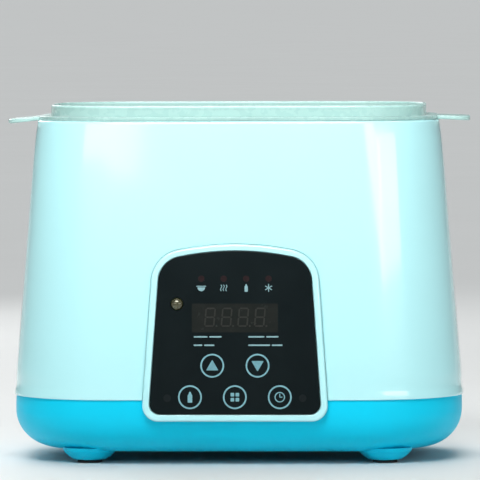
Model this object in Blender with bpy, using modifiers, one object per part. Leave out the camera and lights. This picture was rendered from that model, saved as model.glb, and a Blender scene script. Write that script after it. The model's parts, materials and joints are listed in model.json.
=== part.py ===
"""Bottle steriliser and warmer for two baby bottles, as separate pieces.

Metres, +Z up. The origin is on the floor under the middle of the object, the
front with its touch panel faces -Y, and +X is to the right seen from the front.
"""

import math

import bmesh
import bpy
from mathutils import Matrix, Vector

MM = 0.001
GAP = 0.3 * MM  # between pieces that touch

# Heights of the casing
PAD_STAND = 1.5 * MM
BASE_BOTTOM = 5.9 * MM
SEAM = 33.0 * MM
UPPER_LEVELS = [height * MM for height in (100, 125, 143, 156, 165)]
LIP = 35.5 * MM
DECK = 171.9 * MM
RIM = 179.5 * MM

# Plan of the casing, as half widths (X) and half depths (Y)
LIP_HALF = Vector((113.9, 74.2)) * MM
DECK_HALF = Vector((101.8, 61.2)) * MM
PAN_HALF = Vector((113.2, 73.6)) * MM
CORNER_SHARE = 0.66  # corner radius as a share of the half depth
BOW = 1.5 * MM  # how far each side bulges in the middle
SWELL = 1.15 * MM  # how far the two ends swell out above their middle
WALL = 2.2 * MM
PAN_EDGE = Vector((21.0, 19.5)) * MM  # width and height of the pan's round lower edge

# Basket
FLANGE_LOW = DECK + GAP
FLANGE_THICK = 2.0 * MM
FLANGE_HALF = Vector((101.0, 60.8)) * MM
COLLAR_HALF = Vector((95.2, 54.6)) * MM
COLLAR_WALL = 1.8 * MM
TAB_REACH = 117.6 * MM
TAB_HALF_WIDTH = 18.0 * MM
TAB_DROOP = {"left": math.radians(5.0), "right": math.radians(1.7)}
CUP_X = 45.5 * MM
CUP_TOP_RADIUS = 42.5 * MM
CUP_LOW_RADIUS = 39.5 * MM
CUP_WALL = 1.8 * MM
CUP_BOTTOM = 79.2 * MM
CUP_SLOTS = 8
SLOT_HALF_WIDTH = 3.0 * MM
SLOT_SPAN = (16 * MM, 70 * MM)  # above the cup's bottom
DRAIN_RING = 23.0 * MM
DRAIN_RADIUS = 4.5 * MM

# Tank and heater
TANK_TOP_HALF = Vector((92.6, 52.6)) * MM
TANK_LOW_HALF = Vector((90.0, 50.0)) * MM
TANK_CORNER = 31.0 * MM
TANK_WALL = 1.8 * MM
TANK_BOTTOM = 64.0 * MM
DECK_OPENING_HALF = Vector((93.4, 53.4)) * MM
SEAL_THICK = 0.8 * MM
HEATER_RADIUS = 37.6 * MM
HEATER_FLANGE = 44.0 * MM
HEATER_TOP = TANK_BOTTOM + TANK_WALL
HEATER_SCREW_RING = 48.0 * MM

# Control panel, on a plane that leans with the casing's front
FACE_SLOPE = (LIP_HALF.y - DECK_HALF.y) / (DECK - LIP)
PANEL_TILT = math.atan(FACE_SLOPE)
PANEL_MIDDLE = 66.4 * MM
PANEL_LOW = -44.1 * MM
PANEL_HIGH = 46.7 * MM
PANEL_LOW_HALF = 46.9 * MM
PANEL_HIGH_HALF = 40.5 * MM
PANEL_SLOPE = math.tan(math.radians(10))
BEZEL_PROUD = 2.4 * MM
BEZEL_BORDER = 3.3 * MM
BEZEL_DEPTH = 9.0 * MM
BOARD_BACK = -5.6 * MM
BOARD_FRONT = -4.0 * MM
KEY_PLACES = {
    "up": (-11.3, -16.2),
    "down": (11.3, -16.2),
    "warm": (-22.4, -31.9),
    "function": (0.0, -31.9),
    "timer": (22.4, -31.9),
}
STATUS_LED_X = (-16.8, -5.6, 5.6, 16.8)
STATUS_LED_UP = 27.2 * MM
DISPLAY_SIZE = Vector((43.0, 15.1)) * MM
DISPLAY_UP = 8.0 * MM
LAMP_PLACE = Vector((-29.0, 14.6)) * MM
LAMP_RADIUS = 3.05 * MM

# Feet, screws and the back
FOOT_PLACE = Vector((74.4, 46.0)) * MM
FOOT_RADIUS = 13.7 * MM
FOOT_FLAT = 7.2 * MM
PAD_RADIUS = 6.3 * MM
PAD_TOP = PAD_STAND + 1.0 * MM
POST_PLACE = Vector((84.0, 24.0)) * MM
POST_RADIUS = 4.5 * MM
POST_TOP = 59.5 * MM
RIB_REACH = 110.3 * MM
RIB_THICK = 2.4 * MM
BOSS_TOP = BASE_BOTTOM + 7.0 * MM
HEAD_WELL_TOP = BASE_BOTTOM + 4.2 * MM
SCREW_TIP = 26.0 * MM
INLET_UP = 20.0 * MM
INLET_PIN_X = 4.3 * MM

# Power board, flat above the pan's floor
BOARD_LOW = 14.0 * MM
BOARD_TOP = 15.6 * MM
BOARD_CORNERS = (Vector((-64, -6)) * MM, Vector((22, 42)) * MM)

PARTS = None
CUTTERS = None
FINISHES = {}


# ---------------------------------------------------------------- scene and materials


def clear_scene():
    for obj in list(bpy.data.objects):
        bpy.data.objects.remove(obj, do_unlink=True)


def new_collection(name):
    collection = bpy.data.collections.new(name)
    bpy.context.scene.collection.children.link(collection)
    return collection


def add_finish(name, colour, roughness, metallic=0.0, alpha=1.0):
    finish = bpy.data.materials.new(name)
    finish.use_nodes = True
    shader = finish.node_tree.nodes["Principled BSDF"]
    shader.inputs["Base Color"].default_value = (*colour, 1.0)
    shader.inputs["Roughness"].default_value = roughness
    shader.inputs["Metallic"].default_value = metallic
    shader.inputs["Alpha"].default_value = alpha
    finish.diffuse_color = (*colour, alpha)
    FINISHES[name] = finish


def add_finishes():
    add_finish("white_shell", (0.80, 0.92, 0.93), 0.22)
    add_finish("blue_base", (0.02, 0.55, 0.82), 0.30)
    add_finish("clear_basket", (0.62, 0.78, 0.76), 0.35, alpha=0.55)
    add_finish("black_panel", (0.010, 0.014, 0.016), 0.08)
    add_finish("white_tank", (0.84, 0.87, 0.86), 0.35)
    add_finish("rubber", (0.03, 0.03, 0.03), 0.75)
    add_finish("silicone", (0.62, 0.64, 0.62), 0.55)
    add_finish("heater_metal", (0.62, 0.63, 0.64), 0.30, metallic=1.0)
    add_finish("steel", (0.66, 0.66, 0.67), 0.32, metallic=1.0)
    add_finish("brass", (0.72, 0.56, 0.30), 0.30, metallic=1.0)
    add_finish("circuit_board", (0.05, 0.24, 0.12), 0.45)
    add_finish("black_part", (0.03, 0.03, 0.035), 0.45)
    add_finish("white_part", (0.78, 0.78, 0.74), 0.45)
    add_finish("blue_part", (0.08, 0.20, 0.55), 0.40)
    add_finish("lamp", (0.45, 0.42, 0.12), 0.15)
    add_finish("red_led", (0.45, 0.04, 0.03), 0.25)
    add_finish("wire_red", (0.55, 0.05, 0.04), 0.50)
    add_finish("wire_grey", (0.45, 0.46, 0.47), 0.50)


# ---------------------------------------------------------------- shape tools


def register(name, mesh, finish, parent=None):
    """A part when it has a finish, and a hidden helper when it has none."""
    obj = bpy.data.objects.new(name, mesh)
    if finish:
        mesh.materials.clear()
        mesh.materials.append(FINISHES[finish])
        mesh.shade_smooth()
        mesh.set_sharp_from_angle(angle=math.radians(35))
        PARTS.objects.link(obj)
    else:
        obj.hide_render = True
        obj.display_type = "WIRE"
        CUTTERS.objects.link(obj)
    obj.parent = parent
    return obj


def from_bmesh(name, bm, finish, parent=None):
    mesh = bpy.data.meshes.new(name)
    bm.to_mesh(mesh)
    bm.free()
    return register(name, mesh, finish, parent)


def block(name, low, high, finish=None, parent=None):
    low = Vector(low)
    high = Vector(high)
    bm = bmesh.new()
    place = Matrix.Translation((low + high) / 2) @ Matrix.Diagonal((*(high - low), 1))
    bmesh.ops.create_cube(bm, size=1, matrix=place)
    return from_bmesh(name, bm, finish, parent)


def cylinder(name, radius, low, high, centre=(0, 0), sides=24, finish=None, parent=None):
    """An upright cylinder between two heights of its own frame."""
    bm = bmesh.new()
    place = Matrix.Translation((centre[0], centre[1], (low + high) / 2))
    bmesh.ops.create_cone(
        bm,
        cap_ends=True,
        segments=sides,
        radius1=radius,
        radius2=radius,
        depth=high - low,
        matrix=place,
    )
    return from_bmesh(name, bm, finish, parent)


def turned(name, profile, centre=(0, 0), sides=24, finish=None, parent=None):
    """A profile of (radius, height) points, turned about an upright axis at centre.

    The profile runs down its outer side, from top to bottom.
    """
    mesh = bpy.data.meshes.new(name)
    points = [(radius, 0, height) for radius, height in profile]
    edges = [(i, i + 1) for i in range(len(points) - 1)]
    mesh.from_pydata(points, edges, [])
    obj = register(name, mesh, finish, parent)
    obj.location = (centre[0], centre[1], 0)
    screw = obj.modifiers.new("turn", "SCREW")
    screw.steps = sides
    screw.render_steps = sides
    screw.use_merge_vertices = True
    screw.merge_threshold = 1e-6
    return obj


def as_mesh(source, finish, parent=None):
    """The mesh of a curve object, its caps welded, in place of the curve."""
    bpy.context.view_layer.update()
    graph = bpy.context.evaluated_depsgraph_get()
    mesh = bpy.data.meshes.new_from_object(source.evaluated_get(graph))
    name = source.name
    bpy.data.objects.remove(source)
    bm = bmesh.new()
    bm.from_mesh(mesh)
    bmesh.ops.remove_doubles(bm, verts=bm.verts, dist=1e-6)
    bmesh.ops.recalc_face_normals(bm, faces=bm.faces)
    bm.to_mesh(mesh)
    bm.free()
    mesh.name = name
    return register(name, mesh, finish, parent)


def curve_object(name, runs, cyclic):
    curve = bpy.data.curves.new(name, "CURVE")
    for run in runs:
        spline = curve.splines.new("POLY")
        spline.points.add(len(run) - 1)
        for point, place in zip(spline.points, run):
            point.co = (*Vector(place).to_3d(), 1)
        spline.use_cyclic_u = cyclic
    obj = bpy.data.objects.new(name, curve)
    CUTTERS.objects.link(obj)
    return obj


def plate(name, outline, low, high, holes=(), finish=None, parent=None):
    """A flat outline, with any holes, given a thickness from low to high."""
    obj = curve_object(name, [outline, *holes], cyclic=True)
    obj.data.dimensions = "2D"
    obj.data.fill_mode = "BOTH"
    obj.data.extrude = (high - low) / 2
    solid = as_mesh(obj, finish, parent)
    solid.data.transform(Matrix.Translation((0, 0, (low + high) / 2)))
    return solid


def tube(name, points, radius, finish=None, parent=None):
    obj = curve_object(name, [points], cyclic=False)
    obj.data.dimensions = "3D"
    obj.data.bevel_depth = radius
    obj.data.bevel_resolution = 2
    obj.data.use_fill_caps = True
    return as_mesh(obj, finish, parent)


def through(route, steps=3):
    """Points on a smooth curve through the points of a route."""
    route = [Vector(place) * MM for place in route]
    ends = [2 * route[0] - route[1], *route, 2 * route[-1] - route[-2]]
    points = []
    for before, start, end, after in zip(ends, ends[1:], ends[2:], ends[3:]):
        for step in range(steps):
            t = step / steps
            bend = (2 * before - 5 * start + 4 * end - after) * t * t
            twist = (3 * start - before - 3 * end + after) * t * t * t
            points.append((2 * start + (end - before) * t + bend + twist) / 2)
    return [*points, route[-1]]


def combine(target, operation, *others):
    for other in others:
        modifier = target.modifiers.new(other.name, "BOOLEAN")
        modifier.operation = operation
        modifier.solver = "EXACT"
        modifier.object = other


def cut(target, *cutters):
    combine(target, "DIFFERENCE", *cutters)


def join(target, *pieces):
    combine(target, "UNION", *pieces)


# ---------------------------------------------------------------- outlines


def angles(count, start=0.0):
    """Equal steps round a circle."""
    return [start + 2 * math.pi * index / count for index in range(count)]


def heading(angle):
    return Vector((math.cos(angle), math.sin(angle)))


def circle(radius, centre=(0, 0), sides=32):
    return [Vector(centre) + radius * heading(angle) for angle in angles(sides)]


def rounded_rectangle(half, corner, bow=0.0, corner_steps=5, side_steps=(4, 2)):
    """Anticlockwise points of a rounded rectangle whose sides bulge by bow."""
    half = Vector(half) - Vector((bow, bow))
    points = []
    for index, (sign_x, sign_y) in enumerate(((1, 1), (-1, 1), (-1, -1), (1, -1))):
        middle = Vector((sign_x * (half.x - corner), sign_y * (half.y - corner)))
        for step in range(corner_steps + 1):
            points.append(middle + corner * heading(math.pi / 2 * (index + step / corner_steps)))
        along = index % 2
        straight = 2 * (half[along] - corner) * heading(math.pi / 2 * (index + 2))
        corner_end = points[-1]
        for step in range(1, side_steps[along]):
            points.append(corner_end + straight * step / side_steps[along])
    for point in points:
        bulge_x = math.copysign(bow, point.x) * (1 - (point.y / half.y) ** 2)
        bulge_y = math.copysign(bow, point.y) * (1 - (point.x / half.x) ** 2)
        point += Vector((bulge_x, bulge_y))
    return points


def rounded_polygon(corners, radii, steps=6):
    """A closed outline through straight runs, each corner rounded to its radius."""
    points = []
    count = len(corners)
    for index, radius in enumerate(radii):
        here = Vector(corners[index])
        to_last = (Vector(corners[index - 1]) - here).normalized()
        to_next = (Vector(corners[(index + 1) % count]) - here).normalized()
        half_angle = to_last.angle(to_next) / 2
        middle = here + (to_last + to_next).normalized() * radius / math.sin(half_angle)
        start = here + to_last * radius / math.tan(half_angle) - middle
        sweep = math.pi - 2 * half_angle
        for step in range(steps + 1):
            points.append(middle + start @ Matrix.Rotation(-sweep * step / steps, 2))
    return points


def panel_outline(inset):
    """The control panel's outline, its own edge moved inwards by inset."""
    low = PANEL_LOW + inset
    high = PANEL_HIGH - inset
    lean = (PANEL_LOW_HALF - PANEL_HIGH_HALF) / (PANEL_HIGH - PANEL_LOW)
    low_half = PANEL_LOW_HALF - inset - lean * inset
    high_half = (low_half - lean * (high - low)) / (1 - lean * PANEL_SLOPE)
    shoulder = high - PANEL_SLOPE * high_half
    corners = [(-low_half, low), (low_half, low), (high_half, shoulder), (0, high), (-high_half, shoulder)]
    low_radius = 8 * MM - 0.75 * inset
    high_radius = 16.4 * MM - inset
    arch_radius = 140 * MM - inset
    return rounded_polygon(corners, [low_radius, low_radius, high_radius, arch_radius, high_radius])


def ring_at(half, height, corner=None, bow=BOW):
    radius = corner or CORNER_SHARE * half[1]
    return [point.to_3d() + Vector((0, 0, height)) for point in rounded_rectangle(half, radius, bow)]


def loft(name, rings, wall, finish, closed_below=False):
    """A skin through the rings, from the lowest one up, given a wall on its inner side."""
    bm = bmesh.new()
    rows = [[bm.verts.new(point) for point in ring] for ring in rings]
    count = len(rows[0])
    for lower, upper in zip(rows, rows[1:]):
        for i in range(count):
            j = (i + 1) % count
            bm.faces.new((lower[i], lower[j], upper[j], upper[i]))
    if closed_below:
        bm.faces.new(reversed(rows[0]))
    skin = from_bmesh(name, bm, finish)
    solidify = skin.modifiers.new("wall", "SOLIDIFY")
    solidify.thickness = wall
    solidify.offset = -1
    solidify.use_even_offset = True
    solidify.use_quality_normals = True
    return skin


def casing_half(height):
    """The casing's plan at a height: it leans in evenly, and its two ends swell a little near the top."""
    share = (height - LIP) / (DECK - LIP)
    swell = SWELL * max(share, 0) ** 1.5 * (1 - share**12)
    return LIP_HALF.lerp(DECK_HALF, share) + Vector((swell, 0))


def four_corners(place):
    """The four places that a place mirrors to, with their names."""
    for side, sign_x in (("left", -1), ("right", 1)):
        for end, sign_y in (("front", -1), ("rear", 1)):
            yield f"{end}_{side}", Vector((sign_x * place[0], sign_y * place[1]))


# ---------------------------------------------------------------- casing


def make_panel_frame():
    """An empty in the middle of the control panel: +X right, +Y up the panel, +Z outwards."""
    frame = bpy.data.objects.new("panel_frame", None)
    PARTS.objects.link(frame)
    frame.location = (0, -casing_half(PANEL_MIDDLE).y, PANEL_MIDDLE)
    frame.rotation_euler = (math.pi / 2 - PANEL_TILT, 0, 0)
    bpy.context.view_layer.update()
    return frame


def make_upper_housing(panel_frame):
    lip_start = SEAM + GAP
    rings = [
        ring_at(PAN_HALF, lip_start),
        ring_at(LIP_HALF, LIP),
        ring_at(casing_half(LIP + 2.5 * MM) - Vector((0.4, 0.4)) * MM, LIP + 2.5 * MM),
        *(ring_at(casing_half(height), height) for height in (PANEL_MIDDLE, *UPPER_LEVELS, DECK - 1.6 * MM)),
        ring_at(DECK_HALF - Vector((1.6, 1.6)) * MM, DECK),
        ring_at(DECK_OPENING_HALF, DECK, TANK_CORNER + 0.8 * MM, bow=0.4 * MM),
    ]
    housing = loft("upper_housing", rings, WALL, "white_shell")
    cut(housing, plate("panel_opening", panel_outline(2.6 * MM), -20 * MM, 10 * MM, parent=panel_frame))
    for name, place in four_corners(POST_PLACE):
        low = BOSS_TOP + GAP
        post = cylinder(f"post_{name}", POST_RADIUS, low, POST_TOP, place, sides=16)
        near, far = sorted((place.x, math.copysign(RIB_REACH, place.x)))
        half = RIB_THICK / 2
        rib = block(f"rib_{name}", (near, place.y - half, 38 * MM), (far, place.y + half, POST_TOP - 1 * MM))
        pilot = cylinder(f"pilot_{name}", 1.7 * MM, low - 1 * MM, SCREW_TIP + 4 * MM, place, sides=10)
        join(post, rib)
        join(housing, post)
        cut(housing, pilot)


def pan_half(height):
    """The pan's plan at a height: a quarter of an ellipse for its lower edge, then upright."""
    rise = min((height - BASE_BOTTOM) / PAN_EDGE.y, 1.0)
    inset = PAN_EDGE.x * (1 - math.sqrt(1 - (1 - rise) ** 2))
    return PAN_HALF - Vector((inset, inset))


def foot_bowl(name, place):
    inside_wall = BASE_BOTTOM + 3.9 * MM
    profile = [
        (0, inside_wall),
        (FOOT_RADIUS, inside_wall),
        (FOOT_RADIUS, BASE_BOTTOM + 0.4 * MM),
        (FOOT_RADIUS - 1.7 * MM, BASE_BOTTOM - 1.7 * MM),
        (FOOT_RADIUS - 4.1 * MM, PAD_STAND + 0.9 * MM),
        (FOOT_FLAT, PAD_STAND),
        (PAD_RADIUS + GAP, PAD_STAND),
        (PAD_RADIUS + GAP, PAD_TOP + GAP),
        (0, PAD_TOP + GAP),
    ]
    return turned(f"foot_{name}", profile, place, sides=16)


def make_base_pan(panel_frame):
    heights = [BASE_BOTTOM + PAN_EDGE.y * share for share in (0.0, 0.05, 0.17, 0.36, 0.62, 1.0)]
    rings = [ring_at(pan_half(height), height) for height in heights]
    rings.append(ring_at(PAN_HALF, SEAM))
    pan = loft("base_pan", rings, WALL, "blue_base", closed_below=True)

    panel_seat = plate("panel_seat", panel_outline(0.3 * MM), -14 * MM, 0, parent=panel_frame)
    keep_low = block("below_seam", (-60 * MM, -90 * MM, 10 * MM), (60 * MM, -50 * MM, SEAM - 0.5 * MM))
    combine(panel_seat, "INTERSECT", keep_low)
    inlet_seat = block("inlet_seat", (-17 * MM, 58 * MM, 9 * MM), (17 * MM, 73.9 * MM, SEAM - 1.6 * MM))
    join(pan, panel_seat, inlet_seat)
    cut(pan, plate("pan_panel_opening", panel_outline(2.6 * MM), -30 * MM, 10 * MM, parent=panel_frame))
    inlet_opening = (13.3 * MM, 8.8 * MM)
    low = (-inlet_opening[0], 50 * MM, INLET_UP - inlet_opening[1])
    high = (inlet_opening[0], 90 * MM, INLET_UP + inlet_opening[1])
    cut(pan, block("inlet_opening", low, high))

    floor_top = BASE_BOTTOM + WALL
    for name, place in four_corners(FOOT_PLACE):
        join(pan, foot_bowl(name, place))
    for name, place in four_corners(POST_PLACE):
        join(pan, cylinder(f"screw_boss_{name}", 6.5 * MM, floor_top - 1 * MM, BOSS_TOP, place, sides=20))
        cut(pan, cylinder(f"head_well_{name}", 4.2 * MM, 0, HEAD_WELL_TOP, place, sides=16))
        cut(pan, cylinder(f"screw_hole_{name}", 2.0 * MM, 0, BOSS_TOP + 5 * MM, place, sides=12))
    for side in (-1, 1):
        place = (side * 72 * MM, 0)
        join(pan, cylinder(f"tank_pillar_{side}", 4 * MM, floor_top - 1 * MM, TANK_BOTTOM - GAP, place, 16))
    for x, y in power_board_corners():
        join(pan, cylinder(f"stand_{x:.3f}_{y:.3f}", 3 * MM, floor_top - 1 * MM, BOARD_LOW - GAP, (x, y), 12))


def make_foot_pads():
    for name, place in four_corners(FOOT_PLACE):
        edge = 0.5 * MM
        profile = [(0, PAD_TOP), (PAD_RADIUS, PAD_TOP), (PAD_RADIUS, edge), (PAD_RADIUS - edge, 0), (0, 0)]
        turned(f"foot_pad_{name}", profile, place, sides=16, finish="rubber")


# ---------------------------------------------------------------- screws


def screw_profile(head_radius, head_low, head_high, shank_radius, tip):
    """A pan-head screw with its head below and its shank above."""
    return [
        (0, tip),
        (shank_radius * 0.4, tip),
        (shank_radius, tip - 1.2 * MM),
        (shank_radius, head_high),
        (head_radius, head_high),
        (head_radius, head_low + 0.5 * MM),
        (head_radius * 0.75, head_low),
        (0, head_low),
    ]


def make_base_screws():
    head_high = HEAD_WELL_TOP - GAP
    profile = screw_profile(3.4 * MM, head_high - 2 * MM, head_high, 1.4 * MM, SCREW_TIP)
    for name, place in four_corners(POST_PLACE):
        turned(f"base_screw_{name}", profile, place, sides=8, finish="steel")


# ---------------------------------------------------------------- control panel


def board_screw_places():
    for side, sign in (("left", -1), ("right", 1)):
        yield f"low_{side}", (sign * 36.0, -33.4)
        yield f"high_{side}", (sign * 30.8, 29.4)


def make_panel_bezel(frame):
    bezel = plate("panel_bezel", panel_outline(0), GAP, BEZEL_PROUD, finish="white_shell", parent=frame)
    plug = plate("bezel_plug", panel_outline(3.0 * MM), -BEZEL_DEPTH, GAP + 0.4 * MM, parent=frame)
    join(bezel, plug)
    for side in (-1, 1):
        for up in (-26 * MM, 12 * MM):
            reach = 42.6 * MM - (up + 26 * MM) * 0.064
            ends = sorted((side * (reach - 3 * MM), side * (reach + 2.4 * MM)))
            hook = block(
                f"hook_{side}_{up:.3f}",
                (ends[0], up - 4 * MM, -5.6 * MM),
                (ends[1], up + 4 * MM, -3.4 * MM),
                parent=frame,
            )
            join(bezel, hook)
    cut(bezel, plate("panel_recess", panel_outline(BEZEL_BORDER), 0.2 * MM, 5 * MM, parent=frame))
    cut(bezel, plate("panel_window", panel_outline(BEZEL_BORDER + 2.7 * MM), -20 * MM, 5 * MM, parent=frame))
    for name, place in board_screw_places():
        place = Vector(place) * MM
        boss = cylinder(f"board_boss_{name}", 4.6 * MM, BOARD_FRONT + GAP, -0.6 * MM, place, 16, parent=frame)
        pilot = cylinder(f"board_pilot_{name}", 1.4 * MM, -8 * MM, -1.4 * MM, place, 10, parent=frame)
        join(bezel, boss)
        cut(bezel, pilot)


def make_touch_panel(frame):
    plate(
        "touch_panel",
        panel_outline(BEZEL_BORDER + GAP),
        0.2 * MM + GAP,
        BEZEL_PROUD - 0.4 * MM,
        holes=[circle(LAMP_RADIUS + GAP, LAMP_PLACE, 20)],
        finish="black_panel",
        parent=frame,
    )


def make_lamp(frame):
    base = BOARD_FRONT + GAP
    quarter = [math.pi / 2 * step / 4 for step in range(5)]
    dome = [(LAMP_RADIUS * math.sin(a), 1.2 * MM + LAMP_RADIUS * 0.7 * math.cos(a)) for a in quarter]
    profile = [(0, dome[0][1]), *dome[1:], (LAMP_RADIUS, base), (0, base)]
    turned("night_lamp", profile, LAMP_PLACE, sides=20, finish="lamp", parent=frame)


def make_control_board(frame):
    plate(
        "control_board",
        panel_outline(BEZEL_BORDER + 3.4 * MM),
        BOARD_BACK,
        BOARD_FRONT,
        holes=[circle(1.6 * MM, Vector(place) * MM, 10) for _, place in board_screw_places()],
        finish="circuit_board",
        parent=frame,
    )
    front = BOARD_FRONT + GAP
    half = DISPLAY_SIZE / 2
    block(
        "digit_display",
        (-half.x, DISPLAY_UP - half.y, front),
        (half.x, DISPLAY_UP + half.y, 0),
        finish="black_part",
        parent=frame,
    )
    for index, x in enumerate(STATUS_LED_X, 1):
        profile = [(0, 0), (0.9 * MM, -0.2 * MM), (1.5 * MM, -1.2 * MM), (1.5 * MM, front), (0, front)]
        turned(f"status_led_{index}", profile, (x * MM, STATUS_LED_UP), 12, "red_led", frame)
    for name, (x, up) in KEY_PLACES.items():
        cylinder(f"touch_pad_{name}", 4 * MM, front, 0.1 * MM, (x * MM, up * MM), 16, "black_part", frame)
    back = BOARD_BACK - GAP
    cylinder("buzzer", 6 * MM, back - 6 * MM, back, (20 * MM, 8 * MM), 24, "black_part", frame)
    block(
        "control_socket",
        (-8 * MM, -12 * MM, back - 6 * MM),
        (8 * MM, -6 * MM, back),
        finish="white_part",
        parent=frame,
    )
    profile = screw_profile(2.6 * MM, back - 1.7 * MM, back, 1.1 * MM, -1.9 * MM)
    for name, place in board_screw_places():
        turned(f"board_screw_{name}", profile, Vector(place) * MM, 8, "steel", frame)


# ---------------------------------------------------------------- basket


def make_cup(name, x):
    lip = FLANGE_LOW + FLANGE_THICK - 0.6 * MM
    inner_floor = CUP_BOTTOM + CUP_WALL
    profile = [
        (0, inner_floor),
        (CUP_LOW_RADIUS - CUP_WALL, inner_floor),
        (CUP_TOP_RADIUS - CUP_WALL, lip),
        (CUP_TOP_RADIUS, lip),
        (CUP_LOW_RADIUS, CUP_BOTTOM + 2 * MM),
        (CUP_LOW_RADIUS - 2 * MM, CUP_BOTTOM),
        (0, CUP_BOTTOM),
    ]
    cup = turned(name, profile, (x, 0), sides=32)
    for index in range(CUP_SLOTS // 2):
        slot = block(
            f"{name}_slot_{index}",
            (-46 * MM, -SLOT_HALF_WIDTH, CUP_BOTTOM + SLOT_SPAN[0]),
            (46 * MM, SLOT_HALF_WIDTH, CUP_BOTTOM + SLOT_SPAN[1]),
        )
        slot.location = (x, 0, 0)
        slot.rotation_euler = (0, 0, 2 * math.pi / CUP_SLOTS * (index + 0.5))
        cut(cup, slot)
    middle = Vector((x, 0))
    places = [middle, *(middle + DRAIN_RING * heading(angle) for angle in angles(6))]
    for index, place in enumerate(places):
        low = CUP_BOTTOM - 5 * MM
        cut(cup, cylinder(f"{name}_drain_{index}", DRAIN_RADIUS, low, CUP_BOTTOM + 8 * MM, place, 12))
    return cup


def make_tab(side, sign):
    """A lifting tab, a rounded tongue that droops a little from its root."""
    root = 97 * MM
    reach = TAB_REACH - root
    corners = [(0, -TAB_HALF_WIDTH), (reach, -TAB_HALF_WIDTH), (reach, TAB_HALF_WIDTH), (0, TAB_HALF_WIDTH)]
    outline = rounded_polygon(corners, [1 * MM, 9 * MM, 9 * MM, 1 * MM])
    thin = 0.1 * MM  # keeps the tab's faces off the flange's
    tab = plate(f"tab_{side}", outline, thin, FLANGE_THICK - thin)
    tab.location = (sign * root, 0, FLANGE_LOW)
    tab.rotation_euler = (0, TAB_DROOP[side], 0 if sign > 0 else math.pi)
    return tab


def make_basket():
    flange_corner = CORNER_SHARE * FLANGE_HALF.y
    outline = rounded_rectangle(FLANGE_HALF, flange_corner, BOW)
    hole = CUP_TOP_RADIUS - CUP_WALL / 2
    basket = plate(
        "bottle_basket",
        outline,
        FLANGE_LOW,
        FLANGE_LOW + FLANGE_THICK,
        holes=[circle(hole, (sign * CUP_X, 0)) for sign in (-1, 1)],
        finish="clear_basket",
    )
    collar_corner = flange_corner - 5.5 * MM
    inner_half = COLLAR_HALF - Vector((COLLAR_WALL, COLLAR_WALL))
    collar = plate(
        "collar",
        rounded_rectangle(COLLAR_HALF, collar_corner, BOW),
        FLANGE_LOW + 0.6 * MM,
        RIM,
        holes=[rounded_rectangle(inner_half, collar_corner - COLLAR_WALL, BOW)],
    )
    join(basket, collar, make_tab("left", -1), make_tab("right", 1))
    for side, sign in (("left", -1), ("right", 1)):
        join(basket, make_cup(f"cup_{side}", sign * CUP_X))


# ---------------------------------------------------------------- tank and heater


def heater_screw_places():
    return [HEATER_SCREW_RING * heading(angle) for angle in angles(4, start=math.pi / 4)]


def make_water_tank():
    flange_low = DECK - WALL - SEAL_THICK - 2 * GAP - TANK_WALL
    edge = Vector((1, 1)) * MM
    rings = [
        ring_at(TANK_LOW_HALF - 6 * edge, TANK_BOTTOM, TANK_CORNER - 6 * MM, bow=0),
        ring_at(TANK_LOW_HALF - 2 * edge, TANK_BOTTOM + 1.6 * MM, TANK_CORNER - 2 * MM, bow=0),
        ring_at(TANK_LOW_HALF, TANK_BOTTOM + 6 * MM, TANK_CORNER, bow=0),
        ring_at(TANK_TOP_HALF, flange_low, TANK_CORNER, bow=0),
        ring_at(TANK_TOP_HALF + 4.6 * edge, flange_low, TANK_CORNER + 4.6 * MM, bow=0),
    ]
    tank = loft("water_tank", rings, TANK_WALL, "white_tank", closed_below=True)
    cut(tank, cylinder("heater_opening", HEATER_RADIUS + GAP, 50 * MM, 80 * MM, sides=32))
    boss_low = TANK_BOTTOM - 3.6 * MM
    for index, place in enumerate(heater_screw_places()):
        join(tank, cylinder(f"tank_boss_{index}", 3.6 * MM, boss_low, TANK_BOTTOM + 0.5 * MM, place, 16))
        cut(tank, cylinder(f"tank_pilot_{index}", 1.7 * MM, 50 * MM, TANK_BOTTOM + 0.4 * MM, place, 10))

    seal_low = flange_low + TANK_WALL + GAP
    outer = rounded_rectangle(TANK_TOP_HALF + 4.2 * edge, TANK_CORNER + 4.2 * MM)
    inner = rounded_rectangle(TANK_TOP_HALF + 1.4 * edge, TANK_CORNER + 1.4 * MM)
    plate("tank_seal", outer, seal_low, seal_low + SEAL_THICK, holes=[inner], finish="silicone")


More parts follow.
